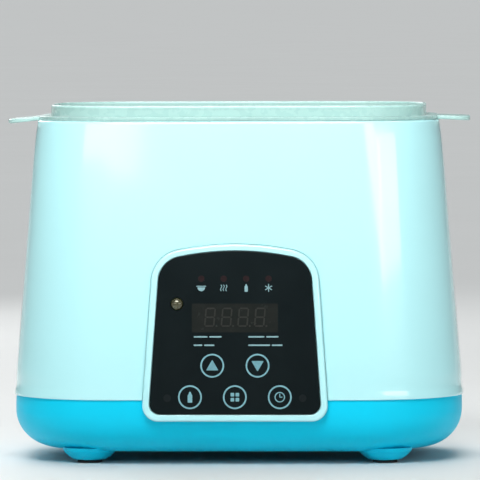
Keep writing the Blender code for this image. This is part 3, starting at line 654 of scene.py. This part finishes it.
def make_shell():
    """The white upper housing: a flared lip, leaning walls, a round shoulder and the deck's opening."""
    start = SEAM + 0.05 * MM
    # How far the lip stands back at the ends and the front, and the height above its lower edge, in mm
    edge = [(0.30, 0.30, 0.0), (0.12, 0.12, 0.15), (0.04, 0.04, 0.5), (0.0, 0.0, 1.2)]
    flare = [(0.12, 0.02, 2.6), (0.34, 0.06, 4.0), (0.42, 0.09, 5.2), (0.34, 0.08, 7.5), (0.10, 0.03, 10.0)]
    rings = []
    for end_inset, front_inset, rise in edge + flare:
        height = start + rise * MM
        half = casing_half(height) - Vector((end_inset, front_inset)) * MM
        rings.append(plan_ring(half, height, CORNER_SHARE * half.y))
    wall_low = start + 12 * MM
    wall_steps = 30
    for step in range(wall_steps + 1):
        rings.append(casing_ring(0, wall_low + (DECK - SHOULDER - wall_low) * step / wall_steps))
    for point in arc((SHOULDER, DECK - SHOULDER), SHOULDER, 180, 90)[1:]:
        rings.append(casing_ring(point.x, point.y))
    soft = 0.8 * MM
    for point in arc((soft, DECK - soft), soft, 90, 180, 4):
        out = Vector((point.x, point.x))
        rings.append(plan_ring(OPENING_HALF + out, point.y, OPENING_CORNER + point.x, 0.4 * MM))
    rings.append(plan_ring(OPENING_HALF, DECK - WALL, OPENING_CORNER, 0.4 * MM))
    for height in (DECK - WALL, DECK - 3 * WALL, 130 * MM, 100 * MM, 66 * MM, 42 * MM):
        rings.append(casing_ring(WALL, height))
    rings.append(casing_ring(WALL + 0.60 * MM, start))
    shell = skin_object("shell", rings, loop=True)
    opening = prism_object("opening", panel_outline(2.6 * MM), -20 * MM, 10 * MM, PANEL_PLACE)
    recess = prism_object("recess", panel_outline(-BEZEL_GAP), -BEZEL_SINK, 10 * MM, PANEL_PLACE)
    combine(shell, "DIFFERENCE", opening, recess)
    finished(shell, "white_shell", ["upper_housing"])


def make_shell_posts():
    """The posts inside the shell that the base screws bite into, each with its rib to the wall."""
    for name, place in four_corners(POST_PLACE):
        post_low = BOSS_TOP + GAP
        bm = bmesh.new()
        bore = [(4.5, post_low), (4.5, POST_TOP), (1.7, POST_TOP), (1.7, post_low)]
        add_turned(bm, [(radius * MM, height) for radius, height in bore], place, 32, loop=True)
        near, far = sorted((place.x + math.copysign(4.2 * MM, place.x), math.copysign(RIB_REACH, place.x)))
        half_rib = RIB_THICK / 2
        add_box(bm, (near, place.y - half_rib, 38 * MM), (far, place.y + half_rib, POST_TOP - 1 * MM))
        finished(mesh_object(f"shell_post_{name}", bm), "white_shell")


def pan_ring(inset, height):
    half = PAN_HALF - Vector((inset, inset))
    return plan_ring(half, height, CORNER_SHARE * half.y)


def pan_edge(wall, steps):
    """Insets and heights up the pan's round lower edge, on the outside or a wall's thickness inside."""
    for step in range(steps + 1):
        angle = math.pi / 2 * step / steps
        inset = wall + (PAN_EDGE.x - wall) * (1 - math.sin(angle))
        yield inset, BASE_BOTTOM + wall + (PAN_EDGE.y - wall) * (1 - math.cos(angle))


def make_pan():
    """The blue base: a bowl with a tongue that stands behind the seam, the panel's seat and the inlet's."""
    rings = [pan_ring(PAN_EDGE.x + 5 * MM, BASE_BOTTOM)]
    rings += [pan_ring(inset, height) for inset, height in pan_edge(0, 22)]
    for inset, below_seam in ((0.02, 4.2), (0.06, 3.0), (0.12, 1.8), (0.18, 0.8), (0.24, 0.3), (0.40, 0.0)):
        rings.append(pan_ring(inset * MM, SEAM - below_seam * MM))
    tongue = 2.5 * MM
    for inset, height in ((tongue, SEAM), (tongue, SEAM + 2.4 * MM), (tongue + MM, SEAM + 2.4 * MM)):
        rings.append(pan_ring(inset, height))
    rings.append(pan_ring(tongue + MM, SEAM - 2.6 * MM))
    rings += [pan_ring(inset, height) for inset, height in reversed(list(pan_edge(WALL, 10)))]
    pan = skin_object("pan", rings)

    seat = prism_object("seat", panel_outline(0.3 * MM), -14 * MM, -BEZEL_SINK, PANEL_PLACE)
    low = (-60 * MM, -90 * MM, 10 * MM)
    combine(seat, "INTERSECT", box_object("below_seam", low, (60 * MM, -50 * MM, SEAM - 0.4 * MM)))
    inlet_seat = box_object("inlet_seat", (-17 * MM, 58 * MM, 9 * MM), (17 * MM, 73.9 * MM, SEAM - 1.6 * MM))
    combine(pan, "UNION", seat, inlet_seat)
    bm = bmesh.new()
    add_box(bm, (-13.3 * MM, 50 * MM, INLET_UP - 8.8 * MM), (13.3 * MM, 90 * MM, INLET_UP + 8.8 * MM))
    for _, place in four_corners(POST_PLACE):
        add_turned(bm, [(HEAD_WELL_RADIUS, 0), (HEAD_WELL_RADIUS, HEAD_WELL_TOP)], place, 48)
    openings = mesh_object("openings", bm)
    window = prism_object("window", panel_outline(2.6 * MM), -30 * MM, 10 * MM, PANEL_PLACE)
    recess = prism_object("recess", panel_outline(-BEZEL_GAP), -BEZEL_SINK, 10 * MM, PANEL_PLACE)
    combine(pan, "DIFFERENCE", window, recess, openings)
    finished(pan, "blue_base", ["base_pan"])


def make_feet():
    """Bowl-shaped feet, each with a rubber pad let into it."""
    for name, place in four_corners(FOOT_PLACE):
        recess = PAD_RADIUS + GAP
        pad_top = pad_high.z
        belly = [
            (FOOT_FLAT, PAD_STAND),
            (FOOT_FLAT + 1.3 * MM, PAD_STAND + 0.15 * MM),
            (FOOT_RADIUS - 4.2 * MM, PAD_STAND + 0.9 * MM),
            (FOOT_RADIUS - 2.6 * MM, PAD_STAND + 2.0 * MM),
            (FOOT_RADIUS - 1.2 * MM, BASE_BOTTOM - 1.0 * MM),
            (FOOT_RADIUS - 0.2 * MM, BASE_BOTTOM + 0.2 * MM),
            (FOOT_RADIUS, BASE_BOTTOM + 1.8 * MM),
        ]
        profile = [(0.01 * MM, pad_top + GAP), (recess, pad_top + GAP), (recess, PAD_STAND + 0.2 * MM)]
        profile += [(recess + 0.2 * MM, PAD_STAND), *belly]
        foot = turned_object(f"foot_{name}", profile, place)
        finished(foot, "blue_base")
        edge = 0.5 * MM
        profile = [(PAD_RADIUS - 2 * MM, edge * 0.6), (PAD_RADIUS - 1.8 * MM, 0), (PAD_RADIUS - edge, 0)]
        profile += [(point.x, point.y) for point in arc((PAD_RADIUS - edge, edge), edge, 300, 360, 4)]
        profile.append((PAD_RADIUS, pad_top))
        pad = turned_object(f"pad_{name}", profile, place)
        finished(pad, "rubber", [f"foot_pad_{name}"])


def make_base_bosses():
    """The bosses over the base's four screw wells, and the tank's two pillars."""
    floor = BASE_BOTTOM + WALL
    for name, place in four_corners(POST_PLACE):
        profile = [(HEAD_WELL_RADIUS, floor - MM), (6.5 * MM, floor - MM), (6.5 * MM, BOSS_TOP)]
        profile += [(2.0 * MM, BOSS_TOP), (2.0 * MM, HEAD_WELL_TOP), (HEAD_WELL_RADIUS, HEAD_WELL_TOP)]
        boss = turned_object(f"screw_boss_{name}", profile, place, 48, loop=True)
        finished(boss, "blue_base")
    for side, sign in SIDES:
        profile = [(4 * MM, floor - MM), (4 * MM, TANK_BOTTOM - GAP)]
        pillar = turned_object(f"tank_pillar_{side}", profile, (sign * PILLAR_X, 0), 32)
        finished(pillar, "blue_base")


# ---------------------------------------------------------------- control panel


def make_bezel():
    """The raised white frame, a loop of panel outlines, with its hooks and board bosses behind."""
    soft = 1.3 * MM
    tight = 0.5 * MM
    sunk = GAP - BEZEL_SINK
    profile = [Vector((0, sunk))]
    profile += arc((soft, BEZEL_PROUD - soft), soft, 180, 90, 8)
    profile += arc((BEZEL_BORDER - tight, BEZEL_PROUD - tight), tight, 90, 0, 5)
    window = BEZEL_BORDER + 2.7 * MM
    for inset, up in ((BEZEL_BORDER, 0.2 * MM), (window, 0.2 * MM), (window, -BEZEL_DEPTH)):
        profile.append(Vector((inset, up)))
    profile += [Vector((3.0 * MM, -BEZEL_DEPTH)), Vector((3.0 * MM, sunk))]
    bm = bmesh.new()
    add_skin(bm, [level(panel_outline(point.x), point.y) for point in profile], loop=True)
    bezel = mesh_object("bezel", bm, PANEL_PLACE)
    finished(bezel, "white_shell", ["panel_bezel"])

    hook_low = -26 * MM
    for side, sign in SIDES:
        for end, up in (("low", hook_low), ("high", 12 * MM)):
            reach = 42.6 * MM - (up - hook_low) * 0.064  # the frame narrows upwards
            near, far = sorted((sign * (reach - 2.2 * MM), sign * (reach + 2.4 * MM)))
            low = (near, up - 4 * MM, -5.6 * MM)
            hook = box_object(f"bezel_hook_{end}_{side}", low, (far, up + 4 * MM, -3.4 * MM), PANEL_PLACE)
            finished(hook, "white_shell")
        for end, x, up in (("low", 36.0, -33.4), ("high", 30.0, 28.6)):
            place = Vector((sign * x, up)) * MM
            bore = [(4.6, -3.7), (4.6, -0.6), (1.4, -0.6), (1.4, -3.7)]
            profile = [(radius * MM, height * MM) for radius, height in bore]
            boss = turned_object(f"board_boss_{end}_{side}", profile, place, 32, True, PANEL_PLACE)
            finished(boss, "white_shell")


def make_touch_panel():
    """The black panel, its edge broken and its lamp hole cut."""
    inset = BEZEL_BORDER + GAP
    edge = 0.25 * MM
    profile = [Vector((inset, 0.5 * MM)), *arc((inset + edge, GLASS_TOP - edge), edge, 180, 90, 4)]
    rings = [level(panel_outline(point.x), point.y) for point in profile]
    rings.append(level(panel_outline(inset + 2 * MM), GLASS_TOP))
    panel = skin_object("touch_glass", rings, place=PANEL_PLACE)
    hole = circle(LAMP_RADIUS + GAP, LAMP_PLACE)
    combine(panel, "DIFFERENCE", prism_object("lamp_hole", hole, -2 * MM, 5 * MM, PANEL_PLACE))
    finished(panel, "black_panel", ["touch_panel"])


def make_lamp():
    base = BOARD_FRONT + GAP
    profile = [(LAMP_RADIUS, base), (LAMP_RADIUS, LAMP_SIDE_TOP)]
    dome_height = LAMP_RADIUS * 0.7
    steps = 12
    for step in range(1, steps):
        angle = math.pi / 2 * step / steps
        profile.append((LAMP_RADIUS * math.cos(angle), LAMP_SIDE_TOP + dome_height * math.sin(angle)))
    lamp = turned_object("lamp_dome", profile, LAMP_PLACE, place=PANEL_PLACE)
    finished(lamp, "lamp", ["night_lamp"])


class Print:
    """Flat marks gathered in one mesh on the panel's face, just proud of it."""

    def __init__(self, name, low=-0.02, high=0.05):
        self.name = name
        self.bm = bmesh.new()
        self.low = GLASS_TOP + low * MM
        self.high = GLASS_TOP + high * MM

    def shape(self, outline, centre=(0, 0)):
        add_prism(self.bm, [Vector(point) + Vector(centre) for point in outline], self.low, self.high)

    def ring(self, centre, radius, line, sides=72):
        inner = radius - line
        loop = [(radius, self.low), (radius, self.high), (inner, self.high), (inner, self.low)]
        add_turned(self.bm, loop, centre, sides, loop=True)

    def disc(self, centre, radius, sides=40):
        self.shape(circle(radius, centre, sides))

    def bar(self, start, end, width):
        """A line with round ends."""
        start = Vector(start)
        run = Vector(end) - start
        outline = stadium(run.length / 2 + width / 2, width / 2, 5)
        turn = Matrix.Rotation(math.atan2(run.y, run.x) - math.pi / 2, 2)
        self.shape([turn @ point for point in outline], start + run / 2)

    def finish(self, material):
        finished(mesh_object(self.name, self.bm, PANEL_PLACE), "black_panel", material=material)


def triangle(up):
    """A key's arrow, pointing up or down."""
    half = Vector((3.1, 2.65)) * MM
    corners = [(-half.x, -half.y), (half.x, -half.y), (0, half.y)]
    if not up:
        corners = [(-x, -y) for x, y in corners]
    return rounded_polygon(corners, [0.25 * MM] * 3, 4)


def bottle(height):
    """A feeding bottle seen from the side."""
    half_width = height * 0.21
    body_top = height * 0.16
    corners = [(-half_width, -height / 2), (half_width, -height / 2), (half_width, body_top)]
    corners += [(half_width * 0.62, height * 0.28), (half_width * 0.3, height / 2)]
    corners += [(-x, y) for x, y in reversed(corners[2:])]
    radius = height * 0.05
    return rounded_polygon(corners, [radius] * len(corners), 3)


def make_key_marks():
    marks = Print("key_marks")
    for centre in KEY_PLACES.values():
        marks.ring(centre, KEY_RADIUS + KEY_LINE / 2, KEY_LINE)
    marks.shape(bottle(5.4 * MM), KEY_PLACES["warm"])
    cell = [Vector((x, y)) * 1.25 * MM for x, y in ((-1, -1), (1, -1), (1, 1), (-1, 1))]
    for corner in cell:
        square = rounded_polygon([point * 0.72 for point in cell], [0.3 * MM] * 4, 3)
        marks.shape(square, KEY_PLACES["function"] + corner)
    clock = KEY_PLACES["timer"]
    marks.ring(clock, 2.6 * MM, 0.5 * MM, 48)
    marks.bar(clock, clock + Vector((0, 1.5)) * MM, 0.45 * MM)
    marks.bar(clock, clock + Vector((1.1, 0)) * MM, 0.45 * MM)
    marks.finish(PRINT_INK)
    arrows = Print("key_arrows")
    lift = Vector((0, 0.3)) * MM
    arrows.shape(triangle(True), KEY_PLACES["up"] + lift)
    arrows.shape(triangle(False), KEY_PLACES["down"] - lift)
    arrows.finish(ARROW_INK)


def make_label_marks():
    """Small pictures and bars in place of the panel's words."""
    marks = Print("label_marks")
    food, steam, formula, defrost = [Vector((x, LABEL_UP)) for x in STATUS_X]
    marks.shape(arc((0, 0.3 * MM), 1.9 * MM, 180, 360, 14), food)
    marks.bar(food + Vector((-2.3, 0.85)) * MM, food + Vector((2.3, 0.85)) * MM, 0.4 * MM)
    for x in (-1.3, 0, 1.3):
        wave = [Vector((x + 0.35 * math.sin(up * 2.2), up)) * MM for up in (-1.4, -0.7, 0, 0.7, 1.4)]
        for start, end in zip(wave, wave[1:]):
            marks.bar(steam + start, steam + end, 0.42 * MM)
    marks.shape(bottle(3.8 * MM), formula)
    for angle in (30, 90, 150):
        arm = 1.8 * MM * heading(math.radians(angle))
        marks.bar(defrost - arm, defrost + arm, 0.42 * MM)
    upper, lower = -1.8, -6.0
    rows = [
        (upper, -20.2, (6.2, 5.4)),
        (lower, -20.2, (3.6, 4.4)),
        (upper, 7.0, (7.4, 5.4)),
        (lower, 7.0, (10.2, 4.6)),
    ]
    space = 1.6
    for up, left, lengths in rows:
        for length in lengths:
            marks.bar(Vector((left, up)) * MM, Vector((left + length, up)) * MM, 0.75 * MM)
            left += length + space
    marks.finish(LABEL_INK)


def make_display_marks():
    """The dark display: its window, and four unlit digits with their points."""
    window = Print("display_face", high=0.02)
    half = DISPLAY_SIZE / 2
    corners = [(-half.x, -half.y), (half.x, -half.y), (half.x, half.y), (-half.x, half.y)]
    window.shape(rounded_polygon(corners, [0.5 * MM] * 4, 4), (0, DISPLAY_UP))
    window.finish(smoked_window())

    digits = Print("display_digits", low=0.0, high=0.04)
    size = Vector((4.5, 8.8)) * MM
    line = 0.8 * MM
    short = 0.62 * MM
    slant = Matrix(((1, 0.09), (0, 1)))
    for x in (-12.45, -4.15, 4.15, 12.45):
        middle = Vector((x * MM, DISPLAY_UP + 0.4 * MM))
        for up in (-size.y / 2, 0, size.y / 2):
            ends = [middle + slant @ Vector((sign * (size.x / 2 - short), up)) for sign in (-1, 1)]
            digits.bar(*ends, line)
        for side in (-1, 1):
            for low in (-size.y / 2, 0):
                ends = [Vector((side * size.x / 2, low + end)) for end in (short, size.y / 2 - short)]
                digits.bar(middle + slant @ ends[0], middle + slant @ ends[1], line)
        digits.disc(middle + Vector((size.x / 2 + 1.0 * MM, -size.y / 2)), 0.5 * MM, 20)
    digits.finish(DIGIT_INK)

    spots = Print("status_spots", high=0.02)
    for x in STATUS_X:
        spots.disc((x, STATUS_UP), 1.6 * MM)
    spots.finish(GLOW_INK)
    sinks = Print("sink_marks", high=0.02)
    for x in (-33.8, 33.8):
        sinks.disc((x * MM, -32.4 * MM), 1.9 * MM)
    sinks.finish(MARK_INK)


# ---------------------------------------------------------------- basket


def tab_object(side, sign):
    """A lifting tab: a rounded tongue that droops a little and thickens below towards its end."""
    reach = TAB_REACH - TAB_ROOT
    corners = [(0, -TAB_HALF_WIDTH), (reach, -TAB_HALF_WIDTH), (reach, TAB_HALF_WIDTH), (0, TAB_HALF_WIDTH)]
    rings = []
    edge = 0.5 * MM
    low = 0.1 * MM
    high = FLANGE_THICK - 0.1 * MM
    profile = [*arc((edge, low + edge), edge, 270, 180, 3), *arc((edge, high - edge), edge, 180, 90, 3)]
    for point in profile:
        shrink = point.x
        inner = [Vector(corner) for corner in corners]
        for corner in inner:
            corner.x -= shrink if corner.x > 0 else 0
            corner.y -= math.copysign(shrink, corner.y)
        rings.append(level(rounded_polygon(inner, [1 * MM, 9 * MM, 9 * MM, 1 * MM], 10), point.y))
    clear = 8 * MM  # the part that lies over the casing
    for ring in rings:
        for point in ring:
            thick = 1 + 0.30 * max(0, point.x - clear) / (reach - clear)
            point.z = high + (point.z - high) * thick
    turn = Euler((0, TAB_DROOP[side], 0 if sign > 0 else math.pi)).to_matrix().to_4x4()
    place = Matrix.Translation((sign * TAB_ROOT, 0, FLANGE_LOW)) @ turn
    return skin_object(f"tab_{side}", rings, place=place)


def cup_object(side, x):
    lip = FLANGE_TOP - 0.3 * MM
    inner_floor = CUP_BOTTOM + CUP_WALL
    profile = [Vector((0.01 * MM, CUP_BOTTOM)), Vector((CUP_LOW_RADIUS - 6 * MM, CUP_BOTTOM))]
    profile += arc((CUP_LOW_RADIUS - 3 * MM, CUP_BOTTOM + 3 * MM), 3 * MM, 270, 360, 8)
    profile += [Vector((CUP_TOP_RADIUS, lip)), Vector((CUP_TOP_RADIUS - CUP_WALL + 0.5 * MM, lip))]
    profile.append(Vector((CUP_TOP_RADIUS - CUP_WALL, lip - 0.5 * MM)))
    inner = 2 * MM
    inner_corner = (CUP_LOW_RADIUS - CUP_WALL - inner, inner_floor + inner)
    profile += arc(inner_corner, inner, 360, 270, 8)
    profile.append(Vector((0.01 * MM, inner_floor)))
    return turned_object(f"cup_{side}", [(point.x, point.y) for point in profile], (x, 0), 96)


def make_basket():
    """The lift-out basket: flange, collar, two lifting tabs and two slotted cups in one moulding."""
    flange_corner = CORNER_SHARE * FLANGE_HALF.y
    edge = 0.6 * MM
    profile = arc((edge, FLANGE_LOW + edge), edge, 270, 180, 4)
    profile += arc((edge, FLANGE_TOP - edge), edge, 180, 90, 4)
    rings = []
    for point in profile:
        half = FLANGE_HALF - Vector((point.x, point.x))
        rings.append(plan_ring(half, point.y, flange_corner - point.x))
    basket = skin_object("basket", rings)

    collar_corner = flange_corner - 5.5 * MM
    soft = COLLAR_WALL / 2 - 0.05 * MM
    collar_low = FLANGE_LOW + 0.6 * MM
    profile = [Vector((0, collar_low)), *arc((soft, RIM - soft), soft, 180, 90, 5)]
    profile += arc((COLLAR_WALL - soft, RIM - soft), soft, 90, 0, 5)
    profile.append(Vector((COLLAR_WALL, collar_low)))
    rings = []
    for point in profile:
        half = COLLAR_HALF - Vector((point.x, point.x))
        rings.append(plan_ring(half, point.y, collar_corner - point.x))
    collar = skin_object("collar", rings, loop=True)
    combine(basket, "UNION", collar, tab_object("left", -1), tab_object("right", 1))

    bm = bmesh.new()
    hole = CUP_TOP_RADIUS - CUP_WALL / 2
    for sign in (-1, 1):
        add_turned(bm, [(hole, FLANGE_LOW - 5 * MM), (hole, FLANGE_TOP + 5 * MM)], (sign * CUP_X, 0), 96)
    combine(basket, "DIFFERENCE", mesh_object("wells", bm))
    combine(basket, "UNION", cup_object("left", -CUP_X), cup_object("right", CUP_X))

    bm = bmesh.new()
    slot_half = (SLOT_SPAN[1] - SLOT_SPAN[0]) / 2
    slot_up = CUP_BOTTOM + (SLOT_SPAN[0] + SLOT_SPAN[1]) / 2
    outline = stadium(slot_half, SLOT_HALF_WIDTH, 10)
    drain = [(DRAIN_RADIUS, CUP_BOTTOM - 5 * MM), (DRAIN_RADIUS, CUP_BOTTOM + 6 * MM)]
    for x in (-CUP_X, CUP_X):
        for angle in turns(CUP_SLOTS, math.pi / CUP_SLOTS):
            out = heading(angle).to_3d()
            across = heading(angle + math.pi / 2).to_3d()
            centre = Vector((x, 0, slot_up))
            rings = []
            for radius in (32 * MM, 46 * MM):
                middle = centre + radius * out
                rings.append([middle + across * point.x + Vector((0, 0, point.y)) for point in outline])
            add_skin(bm, rings)
        places = [Vector((x, 0)), *(Vector((x, 0)) + DRAIN_RING * heading(angle) for angle in turns(6))]
        for place in places:
            add_turned(bm, drain, place, 40)
    combine(basket, "DIFFERENCE", mesh_object("slots_and_drains", bm))
    finished(basket, "clear_basket", ["bottle_basket"], "basket")


# ---------------------------------------------------------------- tank and heater


def tank_ring(out, height, half=TANK_TOP_HALF):
    """A ring of the tank's wall, moved outwards by out."""
    return plan_ring(half + Vector((out, out)), height, TANK_CORNER + out, bow=0)


def make_tank():
    """The open white tank that the basket hangs in, with its flange and the heater's opening."""
    bend = 6 * MM
    bend_inside = bend - TANK_WALL
    flange_low = TANK_TOP - TANK_WALL
    rings = [tank_ring(-bend - 6 * MM, TANK_BOTTOM, TANK_LOW_HALF)]
    for point in arc((-bend, TANK_BOTTOM + bend), bend, 270, 360, 6):
        rings.append(tank_ring(point.x, point.y, TANK_LOW_HALF))
    rings += [tank_ring(0, flange_low), tank_ring(4.6 * MM, flange_low), tank_ring(4.6 * MM, TANK_TOP)]
    edge = 0.7 * MM
    for point in arc((edge - TANK_WALL, TANK_TOP - edge), edge, 90, 180, 4):
        rings.append(tank_ring(point.x, point.y))
    for point in arc((-bend, TANK_BOTTOM + bend), bend_inside, 360, 270, 6):
        rings.append(tank_ring(point.x, point.y, TANK_LOW_HALF))
    rings.append(tank_ring(-bend - 6 * MM, TANK_BOTTOM + TANK_WALL, TANK_LOW_HALF))
    tank = skin_object("tank", rings)
    hole_radius = HEATER_RADIUS + GAP
    hole = turned_object("heater_hole", [(hole_radius, 50 * MM), (hole_radius, 80 * MM)], sides=96)
    combine(tank, "DIFFERENCE", hole)
    finished(tank, "white_tank", ["water_tank"])


def make_heater():
    """The spun heater plate in the tank's floor, dished a little, with a step at its edge."""
    top = heater_high.z
    flange_top = heater_low.z + 2 * MM
    profile = [
        (0.01 * MM, heater_low.z),
        (HEATER_FLANGE, heater_low.z),
        (HEATER_FLANGE, flange_top),
        (HEATER_RADIUS, flange_top),
        (HEATER_RADIUS, top - 0.6 * MM),
        (HEATER_RADIUS - 0.6 * MM, top),
        (HEATER_RADIUS - 4 * MM, top),
        (HEATER_RADIUS - 4.8 * MM, top - 0.5 * MM),
        (0.01 * MM, top - 0.5 * MM),
    ]
    heater = turned_object("heater", profile, sides=96)
    finished(heater, "heater_metal", ["heater_plate"])


# ---------------------------------------------------------------- inside and back


def dress_cad_nodes():
    """Gives each CAD part that stays in view the material of its slot."""
    for subpart in frame["record"]["subparts"]:
        mesh = frame["nodes"][subpart["node"]].data
        mesh.materials.clear()
        mesh.materials.append(SLOT_MATERIALS[subpart["material_slot"]])


# ---------------------------------------------------------------- floor, light and camera


def make_floor():
    bm = bmesh.new()
    size = 300.0
    bmesh.ops.create_grid(bm, x_segments=1, y_segments=1, size=size / 2)
    floor = mesh_object("floor", bm)
    floor.data.materials.append(floor_material())


def aim(obj, target):
    obj.rotation_mode = "QUATERNION"
    obj.rotation_quaternion = (Vector(target) - obj.location).to_track_quat("-Z", "Y")


def add_softbox(name, place, size, glow, target, spin=0, spread=180):
    """A rectangle of light as bright as glow, turned by some degrees about its own axis."""
    light = bpy.data.lights.new(name, "AREA")
    light.shape = "RECTANGLE"
    light.size, light.size_y = size
    light.energy = 4 * glow * light.size * light.size_y
    light.spread = math.radians(spread)
    box = bpy.data.objects.new(name, light)
    bpy.context.scene.collection.objects.link(box)
    box.location = place
    aim(box, target)
    box.rotation_quaternion = box.rotation_quaternion @ Quaternion((0, 0, 1), math.radians(spin))


def make_lights():
    world = bpy.data.worlds.new("studio")
    world.use_nodes = True
    background = world.node_tree.nodes["Background"]
    background.inputs["Color"].default_value = (0.93, 0.97, 1.0, 1)
    background.inputs["Strength"].default_value = 0.25
    bpy.context.scene.world = world

    sun = bpy.data.lights.new("sky_panel", "SUN")
    sun.energy = 1.8
    sun.angle = math.radians(50)
    sky = bpy.data.objects.new("sky_panel", sun)
    bpy.context.scene.collection.objects.link(sky)
    sky.location = (-0.2, 0.9, 2.0)
    aim(sky, (0, 0, 0))

    add_softbox("key_panel", (-0.04, -0.48, 0.54), (0.50, 0.22), 1.65, (0, -0.06, 0.21), spread=64)
    add_softbox("softbox_left", (-0.508, -0.959, 0.378), (0.83, 0.12), 2.7, (-0.07, -0.06, 0.378), spin=-0.6)
    add_softbox("softbox_right", (0.752, -0.791, 0.301), (0.46, 0.14), 3.2, (0.07, -0.06, 0.301))
    add_softbox("softbox_corner", (0.456, -0.983, 0.339), (0.33, 0.12), 3.2, (0.07, -0.06, 0.339), spin=-19)
    add_softbox("softbox_rear", (-0.50, 1.10, 0.60), (0.90, 0.50), 2.0, (0, 0.06, 0.09))


def make_camera():
    data = bpy.data.cameras.new("camera")
    data.sensor_width = 36
    data.lens = CAMERA_LENS
    data.clip_end = 200
    camera = bpy.data.objects.new("camera", data)
    bpy.context.scene.collection.objects.link(camera)
    out = Vector((math.sin(CAMERA_AZIMUTH), -math.cos(CAMERA_AZIMUTH))) * CAMERA_DISTANCE
    camera.location = (out.x, out.y, CAMERA_HEIGHT)
    camera.rotation_mode = "QUATERNION"
    look = Euler((math.pi / 2 - CAMERA_PITCH, 0, CAMERA_AZIMUTH)).to_quaternion()
    camera.rotation_quaternion = look @ Quaternion((0, 0, 1), CAMERA_ROLL)
    bpy.context.scene.camera = camera


make_camera()
make_floor()
make_lights()
dress_cad_nodes()
make_shell()
make_shell_posts()
make_pan()
make_feet()
make_base_bosses()
make_bezel()
make_touch_panel()
make_lamp()
make_key_marks()
make_label_marks()
make_display_marks()
make_basket()
make_tank()
make_heater()
bpy.context.scene.view_settings.view_transform = "Standard"
